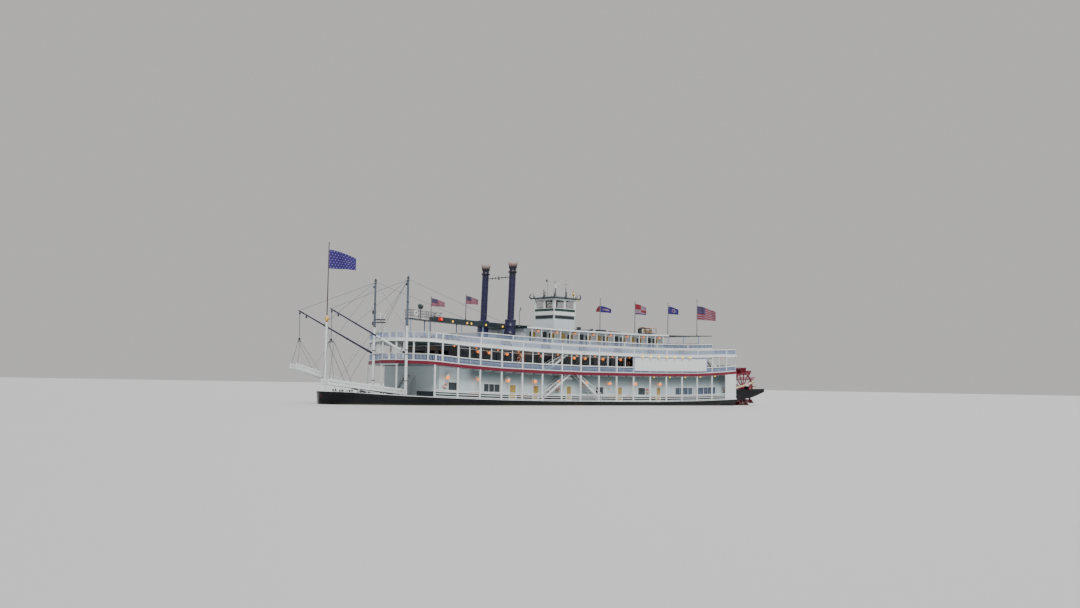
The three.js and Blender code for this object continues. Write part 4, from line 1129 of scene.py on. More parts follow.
def name_board_frame(name, side):
    lift = top_of["second_deck"]
    y = side * (BOARD_HIGH.y + 0.002)
    path = [(x, y) for x in np.linspace(BOARD_HIGH.x, BOARD_LOW.x, 9)]
    parts = [ribbon("rim", path, over("second_deck", base), over("second_deck", base + 0.009), 0.009)
             for base in (0.026, 0.216)]
    for x in (BOARD_LOW.x + 0.005, BOARD_HIGH.x - 0.005):
        parts.append(block("rim", (x - 0.005, y - 0.0045, lift(x) + 0.027),
                           (x + 0.005, y + 0.0045, lift(x) + 0.224)))
    # The frame is white, darkened as painted shade.
    dress(bevelled(join(f"{name}_name_board_frame", parts), 0.0015), shaded_rail_paint)


def wing_wall(name, side):
    slats, start, end = 13, 6.74, 7.01
    stations = [aft(start + (k + 0.5) * (end - start) / slats) for k in range(slats)]
    foot = over("main_deck", 0.001)
    places = [upright(x, side * 0.6885, foot(x), second_ceiling(x) - 0.001) for x in stations]
    slat = bevelled(block("slat", (-0.0095, -0.002, 0), (0.0095, 0.002, 1)), 0.0012)
    dress_copies(f"{name}_wing_wall", slat, places, white_trim)


def engine_bars():
    places = []
    for opening in main_windows:
        count = int(opening.width / 0.026) if opening.foot.x < aft(5.6) else 0
        for k in range(count):
            along = -opening.width / 2 + (k + 0.5) * opening.width / count
            places.append(opening.matrix(0.001) @ upright(along, 0, 0, opening.height))
    bar = bevelled(block("bar", (-0.003, -0.002, 0), (0.003, 0.003, 1)))
    # The bars are white, darkened as painted shade.
    dress_copies("engine_room_bars", bar, places, shaded_rail_paint)


for name, side in SIDES:
    rub_rails(name, side)
    name_board_frame(name, side)
    wing_wall(name, side)
wall_lamps("name_board_lamp", both_sides([4.80 + k * 0.176 for k in range(7)], BOARD_HIGH.y - 0.004,
                                         "second_deck", 0.236, 0.8), lamp_yellow)
engine_bars()

# %% [markdown]
# Wires, pipes and curled irons are all one thing to make: a curve through a few points with a
# round bevel, converted to a mesh. Each point has its own thickness, so a horn can taper.


# %% Bent rods
def bent_rod(name, points, radii, sides=6):
    """A round rod through points, whose thickness follows the radii, closed at both ends."""
    deselect()
    curve = bpy.data.curves.new(name, "CURVE")
    curve.dimensions = "3D"
    curve.bevel_depth = 1.0
    curve.bevel_resolution = max(sides // 2 - 2, 0)
    curve.use_fill_caps = True
    line = curve.splines.new("POLY")
    line.points.add(len(points) - 1)
    for spline_point, place, radius in zip(line.points, points, np.resize(radii, len(points))):
        spline_point.co = (*place, 1)
        spline_point.radius = radius
    take(new_piece(name, curve))
    bpy.ops.object.convert(target="MESH")
    return done(bpy.context.object, 50)


# %% [markdown]
# Two masts at the bow carry the booms that lift the landing stages. They are white where
# people pass them and slate above, out of the smoke's reach. Iron bands take the rigging, and
# each boom ends in a pair of blocks.

# %% Masts and booms
MAST_X = aft(0.980)
MAST_Y = 0.330
MAST_TOP = 1.690
MAST_FOOT = 0.285
BOOM_TIP = aft(-0.105)
BOOM_TIP_Z = 1.262
BOOM_HEEL = MAST_X + 0.030
BOOM_HEEL_Z = 0.800
SLATE = (0.055, 0.075, 0.10)
SLATE_FROM = 1.13
MAST_RUST = (0.13, 0.06, 0.03)


def mast_finish():
    finish = Finish("mast paint", "white_paint", Coat_Weight=0.2)
    here = finish.place()
    cloud = finish.noise(6.0, here)
    rust = finish.step(finish.noise(30, finish.place((1, 1, 0.3)), 8.0), 0.58, 0.75)
    white = finish.mix(WHITE, shade(WHITE, 0.8), cloud)
    slate = finish.mix(SLATE, shade(SLATE, 1.7), cloud)
    up = finish.part(here, "Z") + cloud * 0.01
    body = finish.mix(white, slate, finish.step(up, SLATE_FROM, SLATE_FROM + 0.006))
    return finish.skin(finish.mix(body, MAST_RUST, rust * 0.3), cloud * 0.3 + 0.3, rust, 0.2, 0.001)


def wire(name, start, end, radius):
    return round_bar(name, start, end, radius, sides=6)


def mast_radius(z):
    return 0.019 - 0.007 * (z - MAST_FOOT) / (MAST_TOP - MAST_FOOT)


def boom_point(share, side, rise=0.0):
    return Vector((BOOM_HEEL + (BOOM_TIP - BOOM_HEEL) * share, side * MAST_Y,
                   BOOM_HEEL_Z + (BOOM_TIP_Z - BOOM_HEEL_Z) * share + rise))


def sheave_block():
    """A wooden block with iron cheeks, hanging below the origin."""
    shell = bevelled(block("shell", (-0.010, -0.007, -0.030), (0.010, 0.007, -0.004)), 0.004, 2)
    sheave = round_bar("sheave", (0, -0.0085, -0.017), (0, 0.0085, -0.017), 0.006, sides=12)
    eye = round_bar("eye", (0, 0, -0.006), (0, 0, 0.004), 0.003)
    return join("sheave_block", [shell, sheave, eye])


def mast_irons(name, side):
    mast, y = f"{name}_mast", side * MAST_Y
    parts = []
    for z in (0.46, 0.775, 0.826, 1.12, 1.40, 1.655):
        wide = mast_radius(z) + 0.003
        parts.append(turned("band", [(wide, 0), (wide, 0.010)], 16, (MAST_X, y, z)))
    truck = [(0.013, -0.004), (0.018, 0.0), (0.018, 0.010), (0.008, 0.014), *ball(0.011, 0.022, 6)]
    parts.append(turned("truck", truck, 14, (MAST_X, y, MAST_TOP - 0.002)))
    for share in (0.05, 0.34, 0.66, 0.94):
        wide = 0.0135 - 0.005 * share + 0.0025
        near, far = boom_point(share, side), boom_point(share + 0.008, side)
        parts.append(round_bar("boom_band", near, far, wide, sides=12))
    near, far = boom_point(0.995, side), boom_point(1.004, side)
    parts.append(round_bar("boom_nose", near, far, 0.0095, 0.005, 12))
    dress_all(f"{mast}_irons", parts, steel, mast)
    hung = [at(*boom_point(share, side, -0.008)) for share in (0.985, 0.90)] + [at(MAST_X + 0.024, y, 1.63)]
    dress_copies(f"{mast}_blocks", sheave_block(), hung, shadow_blue, mast)
    lifts = [wire("lift", (MAST_X + 0.010, y, 1.668), boom_point(share, side, 0.008), 0.0021)
             for share in (0.99, 0.67)]
    dress_all(f"{name}_topping_lifts", lifts, wire_steel, mast)
    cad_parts[mast].data.materials[0] = mast_paint.material


mast_paint = mast_finish()
for name, side in SIDES:
    mast_irons(name, side)
dress(round_bar("port_boom_sleeve", boom_point(0.035, 1), boom_point(0.40, 1), 0.0150, 0.0135, 14),
      white_trim, "port_mast")

# %% [markdown]
# The stays are wires that hold the masts up. From each mast's cap one crosses to the other
# side, one runs aft to a stack's base and one forward to the bow. A mast turns on the line
# through its cap, so a stay's upper end doesn't move when it turns.

# %% Stays and falls
JACKSTAFF_AFT = 0.068
HEEL_PIN_Z = 0.310
HEEL_PIN_AFT = 0.938
STAGE_TIP = -0.158
STAGE_HEEL = 0.950
STAGE_DEPTH = 0.064
STAGE_RISES = {"port": 0.110, "starboard": 0.285}


def stage_slope(name):
    return STAGE_RISES[name] / (HEEL_PIN_AFT - STAGE_TIP)


def stage_point(name, distance, out, up):
    """A place on a stage: aft of the bow, out from its middle, and above its lower edge."""
    z = HEEL_PIN_Z - 0.012 + stage_slope(name) * (HEEL_PIN_AFT - distance) + up
    return Vector((aft(distance), dict(SIDES)[name] * (MAST_Y + out), z))


def on_deck(deck, distance, y):
    return Vector((aft(distance), y, top_of[deck](aft(distance))))


def stays():
    wires = []
    for _, side in SIDES:
        cap = (MAST_X, side * MAST_Y, MAST_TOP - 0.012)
        for foot in (on_deck("third_deck", 1.05, -side * 0.36), (aft(2.626), side * 0.262, 1.225),
                     on_deck("main_deck", 0.30, side * 0.020)):
            wires.append(wire("stay", cap, foot, 0.0019))
        wires.append(wire("shroud", (aft(JACKSTAFF_AFT), side * 0.006, 1.16),
                          on_deck("main_deck", 0.15, side * 0.10), 0.0018))
    dress_all("stays", wires, wire_steel)


def blended(piece, end):
    """Takes a piece off its parent and bakes its place into its mesh. The end is not used."""
    piece.parent = None
    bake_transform(piece)


def fall(name, side, bar_z, half_bar, waist_radius):
    """The tackle from a boom's tip to its stage: two parts of wire, a block and a bridle."""
    y = side * MAST_Y
    top = boom_point(0.985, side)
    bar_x = top.x - 0.004
    parts = [wire("fall", (top.x, y + dy, top.z - 0.03), (bar_x, y + dy, bar_z + 0.055), 0.0018)
             for dy in (-0.004, 0.004)]
    parts.append(moved(sheave_block(), shift(bar_x, y, bar_z + 0.045) @ Matrix.Scale(1.2, 4)))
    parts.append(round_bar("bar", (bar_x, y - half_bar, bar_z), (bar_x, y + half_bar, bar_z), 0.0055))
    for out in (-1, 1):
        end = Vector((bar_x, y + out * half_bar, bar_z))
        parts.append(wire("hanger", (bar_x, y, bar_z + 0.014), end, 0.0022))
        for distance, radius in ((STAGE_TIP + 0.02, 0.0022), (0.16, waist_radius)):
            foot = stage_point(name, distance, side * out * 0.065, STAGE_DEPTH)
            parts.append(wire("leg", end, foot, radius))
    piece = dress_all(f"{name}_fall", parts, steel, f"{name}_mast")
    blended(piece, stage_point(name, STAGE_TIP + 0.02, 0, STAGE_DEPTH))
    cap, hold = Vector((MAST_X, y, 1.66)), stage_point(name, 0.06, -0.064, STAGE_DEPTH)
    preventer = wire(f"{name}_preventer", cap, hold, 0.0018)
    blended(dress(preventer, wire_steel, f"{name}_mast"), hold)


stays()
fall("port", 1, 0.885, 0.062, 0.0026)
fall("starboard", -1, 0.905, 0.024, 0.0018)
print("wires set up")

# %% [markdown]
# A landing stage is a long gangway between two trusses. The solids leave the trusses' middle
# bays open, so diagonals cross them here. Treads lie across its deck.


# %% Landing stages
STAGE_BAYS = 6
STAGE_TREADS = 44


def stage_details(name):
    stage = f"{name}_stage"
    pitch = (STAGE_HEEL - STAGE_TIP - 0.016) / STAGE_BAYS
    braces = []
    for out in (-0.065, 0.065):
        for k in range(STAGE_BAYS):
            near, far = STAGE_TIP + k * pitch + 0.014, STAGE_TIP + (k + 1) * pitch + 0.002
            for low, high in ((0.023, 0.047), (0.047, 0.023)):
                braces.append(square_bar("brace", stage_point(name, near, out, low),
                                         stage_point(name, far, out, high), 0.005, 0.004))
    dress_all(f"{stage}_braces", braces, white_trim, stage)
    model = bevelled(block("tread", (-0.004, -0.058, 0), (0.004, 0.058, 0.004)))
    treads = []
    for k in range(STAGE_TREADS):
        middle = stage_point(name, STAGE_TIP + 0.02 + k * 1.05 / STAGE_TREADS, 0, 0.0135)
        treads.append(Matrix.Translation(middle) @ about("Y", -math.atan(stage_slope(name))))
    dress_copies(f"{stage}_treads", model, treads, bench_wood, stage)


for name, _ in SIDES:
    stage_details(name)

# %% [markdown]
# The jackstaff at the bow is a pole with a gilded ball halfway, where the pilot takes his
# mark. Above the ball it is dark paint, and below the ball it is cased and white. Round its
# foot stand the things that a crew needs there: a capstan, bitts to belay lines to, a hatch
# and vents.


# %% Jackstaff and bow fittings
def bitts(distance, y):
    """A pair of short posts on a plate."""
    x, _, z = on_deck("main_deck", distance, y)
    plate = block("plate", (x - 0.03, y - 0.014, z - 0.003), (x + 0.03, y + 0.014, z + 0.003))
    parts = [bevelled(plate, 0.0015)]
    post = [(0.009, 0), (0.008, 0.024), (0.0115, 0.028), (0.0115, 0.033), (0.006, 0.036)]
    return parts + [turned("post", post, 12, (x + dx, y, z)) for dx in (-0.017, 0.017)]


def bow_fittings():
    casing_rings = [(0.022, 0.0), (0.022, 0.012), (0.014, 0.020), (0.0125, 0.80 - 0.02), (0.016, 0.80)]
    dress(turned("jackstaff_casing", casing_rings, 14, on_deck("main_deck", JACKSTAFF_AFT, 0)), white_trim)
    mark = [(0.010, -0.036), (0.018, -0.032), (0.012, -0.027), *ball(0.026, 0.0, 10),
            (0.010, 0.028), (0.006, 0.040)]
    dress(turned("jackstaff_ball", mark, 18, (aft(JACKSTAFF_AFT), 0, 1.165)), gilt)
    capstan = [(0.042, 0), (0.042, 0.006), (0.030, 0.012), (0.020, 0.030), (0.019, 0.048), (0.030, 0.060),
               (0.034, 0.064), (0.034, 0.076), (0.020, 0.082), (0.004, 0.083)]
    parts = [turned("capstan", capstan, 16, on_deck("main_deck", 0.55, 0))]
    for distance, y in ((0.20, 0.0), (0.36, -0.10), (0.36, 0.10), (0.78, -0.14), (0.78, 0.14)):
        parts += bitts(distance, y)
    dress_all("bitts_and_capstan", parts, steel)
    x, _, z = on_deck("main_deck", 0.86, 0)
    coaming = bevelled(block("coaming", (x - 0.055, -0.05, z), (x + 0.055, 0.05, z + 0.018)), 0.002)
    choose_top(coaming)
    bpy.ops.mesh.inset(thickness=0.010)
    extrude((0, 0, 0.005))
    leave_edit_mode()
    dress(coaming, white_trim)
    vent = [(0.010, -0.002), (0.010, 0.028), (0.018, 0.032), (0.016, 0.040), (0.006, 0.044)]
    vents = [turned("vent", vent, 12, on_deck("main_deck", distance, y))
             for distance, y in ((0.46, 0.12), (0.46, -0.12), (0.66, 0.0))]
    dress_all("bow_vents", vents, white_trim)


bow_fittings()

# %% [markdown]
# Flags are sheets of cloth that stream aft in the wind. A grid is laid out flat, and each of
# its columns is then carried along a course whose heading swings from side to side, so the
# cloth bends without stretching and its flat size stays the size it was cut to. The patterns
# are plain and common ones, painted through the cloth's own UV map.


# %% Flag patterns
RED = (0.20, 0.006, 0.018)
DARK_RED = (0.09, 0.012, 0.03)
BLUE = (0.008, 0.008, 0.070)
BRIGHT_BLUE = (0.020, 0.008, 0.14)
PALE = (0.24, 0.17, 0.23)
PALE_BLUE = (0.28, 0.26, 0.55)
FADED = (0.55, 0.50, 0.47)
DUSTY = (0.05, 0.04, 0.05)


def flag_finish(name, pattern):
    """A dyed cloth. Pattern takes the finish and the two ways across the cloth, each 0 to 1."""
    finish = Finish(name, "bunting", Roughness=0.8)
    flat = finish.place(source="UV")
    colour = pattern(finish, finish.part(flat, "X"), finish.part(flat, "Y"))
    weave = finish.noise(6.0, finish.place((90, 60, 1), "UV"), 2.0)
    worn = finish.mix(colour, FADED, finish.step(finish.noise(3.0, flat), 0.55, 0.85) * 0.25)
    return finish.skin(finish.mix(worn, DUSTY, weave * 0.18), None, weave, 0.3, 0.0008)


def squared(across, up):
    return across * across + up * up


def striped(finish, u, v):
    cloth = finish.mix(PALE, RED, finish.step((v * 6.5) % 1.0, 0.48, 0.52))
    corner = finish.step(u, 0.41, 0.40) * finish.step(v, 0.45, 0.46)
    dots = finish.step(squared((u * 15) % 1.0 - 0.5, (v * 12) % 1.0 - 0.5), 0.078, 0.042)
    return finish.mix(cloth, finish.mix(BLUE, PALE, dots), corner)


def dotted_blue(finish, u, v):
    staggered = u * 9 + finish.step((v * 3.5) % 1.0, 0.49, 0.51) * 0.5
    dots = finish.step(squared(staggered % 1.0 - 0.5, (v * 7) % 1.0 - 0.5), 0.035, 0.015)
    return finish.mix(BRIGHT_BLUE, PALE_BLUE, dots)


def disc_on_blue(finish, u, v):
    from_middle = squared((u - 0.5) * 1.4, v - 0.5)
    disc = finish.mix(BRIGHT_BLUE, PALE, finish.step(from_middle, 0.075, 0.065))
    return finish.mix(disc, BRIGHT_BLUE, finish.step(from_middle, 0.030, 0.022) * 0.8)


def band_on_blue(finish, u, v):
    band = finish.step(v, 0.36, 0.38) * finish.step(v, 0.64, 0.62)
    return finish.mix(BRIGHT_BLUE, PALE, band * finish.step(u, 0.20, 0.22) * finish.step(u, 0.82, 0.80))


def quartered(finish, u, v):
    left, low = finish.step(u, 0.51, 0.49), finish.step(v, 0.49, 0.51)
    chequered = finish.mix(RED, PALE, left + low - left * low * 2)
    border = finish.mix(PALE, BLUE, finish.step(v, 0.12, 0.10))
    return finish.mix(chequered, border, finish.step(v, 0.26, 0.24))


def plain_red(finish, u, v):
    return finish.mix(RED, DARK_RED, finish.noise(2.0))


# %% Flags
WIND = Vector((-1, 1, 0)).normalized()
FOLDED_WIND = Vector((0.75, -0.65, 0)).normalized()
CLOTH_STEPS = 180
FOLD_SHARE = 1.06
STAFF_RADIUS = 0.0052
FLAGS = [
    # name, aft, y, top, lowered, drop, fly, pattern, phase
    ("first", 1.370, 0.29, 1.488, 0.012, 0.100, 0.159, striped, 0.2),
    ("second", 2.129, 0.045, 1.577, 0.012, 0.105, 0.152, striped, 1.9),
    ("third", 4.370, 0.30, 1.658, 0.095, 0.092, 0.150, band_on_blue, 1.1),
    ("fourth", 5.105, 0.30, 1.662, 0.028, 0.150, 0.158, quartered, 2.6),
    ("fifth", 5.846, 0.30, 1.679, 0.036, 0.116, 0.150, disc_on_blue, 0.8),
    ("sixth", 6.535, 0.30, 1.782, 0.092, 0.215, 0.280, striped, 2.2),
]


def flag_cloth(name, top, drop, fly, pattern, waves=1.6, swing=0.55, droop=0.24, phase=0.4, wind=WIND):
    """A flag whose upper corner at the staff is top, drop high and fly long, in the wind."""
    deselect()
    bpy.ops.mesh.primitive_grid_add(x_subdivisions=44, y_subdivisions=14, size=1)
    piece = settle(f"{name}_flag_cloth")
    across = Vector((-wind.y, wind.x, 0))
    for vertex in piece.data.vertices:
        u, v = vertex.co.x + 0.5, vertex.co.y + 0.5
        ahead, out = 0.0, 0.0
        for k in range(round(u * CLOTH_STEPS)):
            share = (k + 0.5) / CLOTH_STEPS
            wave = math.sin(math.tau * waves * share + phase + 0.9 * (v - 0.5))
            heading = swing * min(1, 2.5 * share) * wave
            ahead += math.cos(heading) * fly / CLOTH_STEPS
            out += math.sin(heading) * fly / CLOTH_STEPS
        sag = fly * u ** 1.4 * (droop * v + 0.05)
        vertex.co = Vector(top) + wind * ahead + across * out - Vector((0, 0, (1 - v) * drop + sag))
    finished(piece, "SOLIDIFY", thickness=0.0008, offset=0.0)
    return dress(done(piece, 60), flag_finish(f"{name} flag", pattern))


def staff(name, place, height):
    rings = [(0.009, 0), (0.009, 0.008), (0.0052, 0.012), (0.0038, height - 0.006),
             (0.0038, height - 0.004), *ball(0.0075, height + 0.002, 6)]
    dress(turned(name, rings, 10, place), staff_paint)


for name, distance, y, top, lowered, drop, fly, pattern, phase in FLAGS:
    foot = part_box(f"{name}_flag")[0].z
    staff(f"{name}_flagstaff", (aft(distance), y, foot), top - foot)
    hoist = Vector((aft(distance), y, top - lowered)) + WIND * STAFF_RADIUS
    cloth = flag_cloth(name, hoist, drop, fly * FOLD_SHARE, pattern, phase=phase)
    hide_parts(f"{name}_flag")

hoist = Vector((aft(JACKSTAFF_AFT), 0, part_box("bow_flag")[1].z - 0.002)) + WIND * 0.0065
jack = flag_cloth("bow", hoist, 0.222, 0.325, dotted_blue, waves=1.35, swing=0.45, droop=0.26, phase=0.9)
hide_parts("bow_flag")

hoist = Vector((aft(4.370), 0.30, 1.566)) + FOLDED_WIND * STAFF_RADIUS
folded = flag_cloth("folded", hoist, 0.088, 0.062, plain_red,
                    waves=2.2, swing=1.0, droop=0.9, phase=0.2, wind=FOLDED_WIND)
print("flags:", len(FLAGS) + 2)

# %% [markdown]
# The two stacks stand on wide bases and carry hoops, a collar and a crown of thin leaves
# that curl outwards. The solids have the same outline with plain points. The modelled stack
# takes its place: rings for the body, then one leaf, bent from a tapered strip and repeated
# round the rim. All of it is sheared aft a little, because the stacks are raked.

# %% Stack paint
STACK_Y = 0.267
COLLAR_Z = 1.907
CROWN_Z = 2.038
RAKE = 0.035


def stack_finish():
    finish = Finish("stack paint", "navy_paint", Coat_Weight=0.25, Coat_Roughness=0.2,
                    Specular_IOR_Level=0.35)
    up = finish.part(finish.place(), "Z")
    cloud = finish.noise(5.0, finish.place((1, 1, 0.25)), 6.0)
    soot = finish.step(up + cloud * 0.1, COLLAR_Z - 0.05, COLLAR_Z + 0.08)
    heat = finish.step(up, COLLAR_Z + 0.055, CROWN_Z)
    body = finish.mix((0.018, 0.016, 0.070), (0.008, 0.010, 0.036), cloud)
    sooted = finish.mix(body, (0.010, 0.010, 0.012), soot * 0.7)
    return finish.skin(finish.mix(sooted, (0.42, 0.26, 0.20), heat * 0.8), cloud * 0.3 + 0.25, cloud, 0.3)


# %% Stacks
LEAVES = 14
RIVETS = 20
RIVET_ROWS = (0.022, 0.092, 0.122, 0.192, 0.222, 0.255)
BASE_TOP = 0.298
TUBE_HOOPS = 6
LEAF_STEPS = ((0.003, 0.018, 1.12), (0.004, 0.018, 0.85), (0.006, 0.017, 0.6), (0.009, 0.013, 0.25))
COLLAR_RINGS = [
    # radius, height above the collar's middle
    (0.0440, -0.018), (0.0500, -0.014), (0.0500, -0.010), (0.0600, -0.006), (0.0615, 0.0),
    (0.0600, 0.007), (0.0480, 0.011), (0.0440, 0.018), (0.0440, 0.046), (0.0500, 0.062),
    (0.0530, 0.074), (0.0460, 0.072), (0.0400, 0.030),
]


def crown_leaf():
    """A thin leaf whose root is at radius 0.05 on +X, rising to a curled point."""
    piece = block("leaf", (0.048, -0.0075, 0), (0.0515, 0.0075, 0.016))
    for out, up, narrow in LEAF_STEPS:
        top = max(v.co.z for v in piece.data.vertices)
        choose(piece, lambda centre, normal, z=top: centre.z > z - 0.002)
        extrude((out, 0, up), (1, narrow, 1))
        leave_edit_mode()
    return done(piece)


def base_panels():
    """The rings of the stack's base: three panels between hoops, and a cap."""
    rings = [(0.074, 0), (0.074, 0.010), (0.071, 0.013)]
    for z in (0.100, 0.200):
        rings += [(0.071, z), (0.0735, z + 0.003), (0.0735, z + 0.010), (0.071, z + 0.013)]
    return rings + [(0.071, 0.262), (0.0745, 0.266), (0.0745, 0.284), (0.066, 0.290), (0.0445, BASE_TOP)]


def stack(name, side):
    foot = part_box(f"{name}_stack")[0].z
    collar = COLLAR_Z - foot
    rings = base_panels()
    for k in range(1, TUBE_HOOPS + 1):
        z = BASE_TOP + k * (collar - BASE_TOP) / (TUBE_HOOPS + 1)
        rings += [(0.0440, z), (0.0462, z + 0.002), (0.0462, z + 0.009), (0.0440, z + 0.011)]
    rings += [(radius, collar + z) for radius, z in COLLAR_RINGS]
    body = turned("stack", rings, 28)
    leaf_places = [about("Z", k * math.tau / LEAVES) @ shift(0, 0, collar + 0.048) for k in range(LEAVES)]
    rivet = turned("rivet", [(0.0022, 0), (0.0016, 0.0014), (0.0004, 0.0018)], 5)
    rivet_places = [about("Z", k * math.tau / RIVETS) @ shift(0.0708, 0, z) @ about("Y", math.pi / 2)
                    for k in range(RIVETS) for z in RIVET_ROWS]
    piece = join(f"{name}_stack_body", [body, repeat("leaves", crown_leaf(), leaf_places),
                                        repeat("rivets", rivet, rivet_places)])
    rake = Matrix.Identity(4)
    rake[0][2] = -RAKE
    dress(moved(piece, shift(aft(2.695), side * STACK_Y, foot) @ rake), stack_paint)
    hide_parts(f"{name}_stack")


def whistle():
    """A steam whistle on a bent pipe, beside the port stack."""
    x, y, foot = aft(2.800), 0.335, top_of["texas_roof"](aft(2.90)) - 0.004
    way = [(0, 0), (0, 0.19), (0.004, 0.212), (0.016, 0.222)]
    pipe = bent_rod("pipe", [(x, y + out, foot + up) for out, up in way], [0.0042], 8)
    bell = turned("bell", [(0.003, 0), (0.010, 0.004), (0.010, 0.030), (0.007, 0.036), (0.002, 0.042)], 12,
                  (x, y + 0.018, foot + 0.214))
    collar = turned("collar", [(0.012, 0), (0.012, 0.006), (0.006, 0.010)], 12, (x, y, foot))
    dress_all("whistle", [pipe, bell, collar], wire_steel)


stack_paint = stack_finish()
for name, side in SIDES:
    stack(name, side)
whistle()
print("stacks dressed")

# %% [markdown]
# The pilothouse is a square lantern of glass. Each wall has two large windows over a dark
# green sill, a rounded white band, and louvres below it, painted dark as the painted shade of
# a recess. Its roof turns up in a curl at each corner, and carries lamps, aerials and finials.

# %% Pilothouse walls
PILOT_LOW, PILOT_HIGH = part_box("pilothouse")
PILOT_BASE = PILOT_HIGH.z - 0.436
PILOT_X = (PILOT_LOW.x + PILOT_HIGH.x) / 2
PILOT_LENGTH = PILOT_HIGH.x - PILOT_LOW.x
PILOT_WIDTH = PILOT_HIGH.y - PILOT_LOW.y
PILOT_WALLS = [
    # middle of the wall, its length, its turn from facing port
    (PILOT_X, PILOT_HIGH.y, PILOT_LENGTH, 0.0), (PILOT_X, PILOT_LOW.y, PILOT_LENGTH, math.pi),
    (PILOT_HIGH.x, 0.0, PILOT_WIDTH, -math.pi / 2), (PILOT_LOW.x, 0.0, PILOT_WIDTH, math.pi / 2),
]
PILOT_CORNERS = [(sx, sy) for sx in (-1, 1) for sy in (-1, 1)]
WINDOW_SHARE = 0.41
WINDOW_HEIGHT = 0.117
WINDOW_SILL = 0.298
LOUVRE_PITCH = 0.0105


def pilot_windows():
    casings, panes, louvres = [], [], []
    backing = (0, 0.041, 0.002)
    slats = [(k * LOUVRE_PITCH, k * LOUVRE_PITCH + 0.0065, 0.006) for k in range(4)]
    for x, y, length, turn in PILOT_WALLS:
        half_slat = length * 0.455
        for low, high, proud in [backing, *slats]:
            slat = block("slat", (-half_slat, -0.001, low), (half_slat, proud, high))
            louvres.append(moved(slat, at(x, y, PILOT_BASE + 0.160, turn)))
        for share in (0.265, 0.735):
            place = at(x, y, PILOT_BASE + WINDOW_SILL, turn) @ shift((share - 0.5) * length, 0, 0)
            casings.append(moved(casing(length * WINDOW_SHARE, WINDOW_HEIGHT), place))
            panes.append(moved(pane(length * WINDOW_SHARE, WINDOW_HEIGHT), place))
    dress_all("pilothouse_casings", casings, white_trim)
    dress_all("pilothouse_panes", panes, clear_glass)
    # The louvres are painted dark, as painted shade of the recess they fill.
    dress_all("pilothouse_louvres", louvres, shadow_blue)


def round_wall(name, low, high, proud, finish, width=0.0):
    """A band round the pilothouse between two heights above its base, bevelled by a width."""
    piece = hollow(block(name, (PILOT_LOW.x - proud, PILOT_LOW.y - proud, PILOT_BASE + low),
                         (PILOT_HIGH.x + proud, PILOT_HIGH.y + proud, PILOT_BASE + high)), 2, proud + 0.003)
    dress(bevelled(piece, width, 3) if width else piece, finish)


def pilot_bands():
    round_wall("pilothouse_sill", 0.262, 0.2955, 0.006, sill_green, 0.0015)
    round_wall("pilothouse_band", 0.205, 0.258, 0.007, white_trim, 0.006)
    # Painted shade: a dark band round the foot of the walls.
    round_wall("pilothouse_base_rim", 0.006, 0.016, 0.004, shadow_blue)
    round_wall("pilothouse_frieze", 0.419, 0.433, 0.006, white_trim, 0.002)
    posts = [turned("post", [(0.008, 0.262), (0.008, 0.434)], 10, (x, y, PILOT_BASE))
             for x in (PILOT_LOW.x, PILOT_HIGH.x) for y in (PILOT_LOW.y, PILOT_HIGH.y)]
    dress_all("pilothouse_corner_posts", posts, white_trim)


def pilot_inside():
    """The steering wheel, the console and a lit lamp, seen through the glass."""
    hub = Vector((PILOT_X + 0.10, 0, PILOT_BASE + 0.30))
    parts = [hoop("rim", 0.075, 0.005, 28, hub, (0, math.pi / 2, 0))]
    for k in range(10):
        out = Vector((0, math.cos(k * math.tau / 10), math.sin(k * math.tau / 10)))
        parts.append(round_bar("spoke", hub, hub + out * 0.095, 0.004, 0.003))
    parts.append(block("stand", hub + Vector((-0.04, -0.02, -0.14)), hub + Vector((-0.01, 0.02, 0.01))))
    dress_all("steering_wheel", parts, bench_wood)
    console = block("console", (PILOT_X + 0.13, -0.14, PILOT_BASE + 0.05),
                    (PILOT_X + 0.18, 0.14, PILOT_BASE + 0.315))
    dress(bevelled(console, 0.006, 2), shadow_blue)
    lamp_rings = [*ball(0.016, -0.030, 6), (0.004, -0.016)]
    dress(turned("pilothouse_lamp", lamp_rings, 10, (PILOT_X, 0, PILOT_BASE + 0.43)), lamp_orange)


pilot_windows()
pilot_bands()
pilot_inside()


# %% Pilothouse roof
ROOF_Z = PILOT_HIGH.z
ROOF_TOP = ROOF_Z + 0.010
EAVE = 0.034
REACH_X = 0.204
REACH_Y = 0.188
AERIALS = ((3.575, 0.180, 1.86), (3.655, -0.03, 1.874), (3.947, 0.035, 1.91), (3.95, -0.16, 1.82))


def corner_curl(sx, sy):
    """An iron horn that leaves a corner of the eave outwards, turns up and curls over."""
    start = Vector((PILOT_X + sx * (REACH_X + EAVE - 0.006), sy * (REACH_Y + EAVE - 0.006), ROOF_Z + 0.006))
    out = Vector((sx, sy, 0)).normalized()
    way = [(0, 0), (0.014, -0.001), (0.027, 0.005), (0.035, 0.017), (0.036, 0.031), (0.031, 0.045),
           (0.023, 0.056), (0.013, 0.062)]
    points = [start + out * a + Vector((0, 0, b)) for a, b in way]
    return bent_rod("curl", points, [0.0130, 0.0125, 0.0115, 0.0100, 0.0085, 0.0070, 0.0052, 0.0034], 8)


def spire(x, y, height):
    """A finial that flares out widely at its foot."""
    rings = [(0.034, 0), (0.022, 0.008), (0.013, 0.020), (0.008, 0.036), (0.006, 0.052), (0.011, 0.058),
             (0.006, 0.064), (0.0045, height - 0.024), *ball(0.009, height - 0.014, 6), (0.001, height)]
    return turned("spire", rings, 12, (x, y, ROOF_TOP))


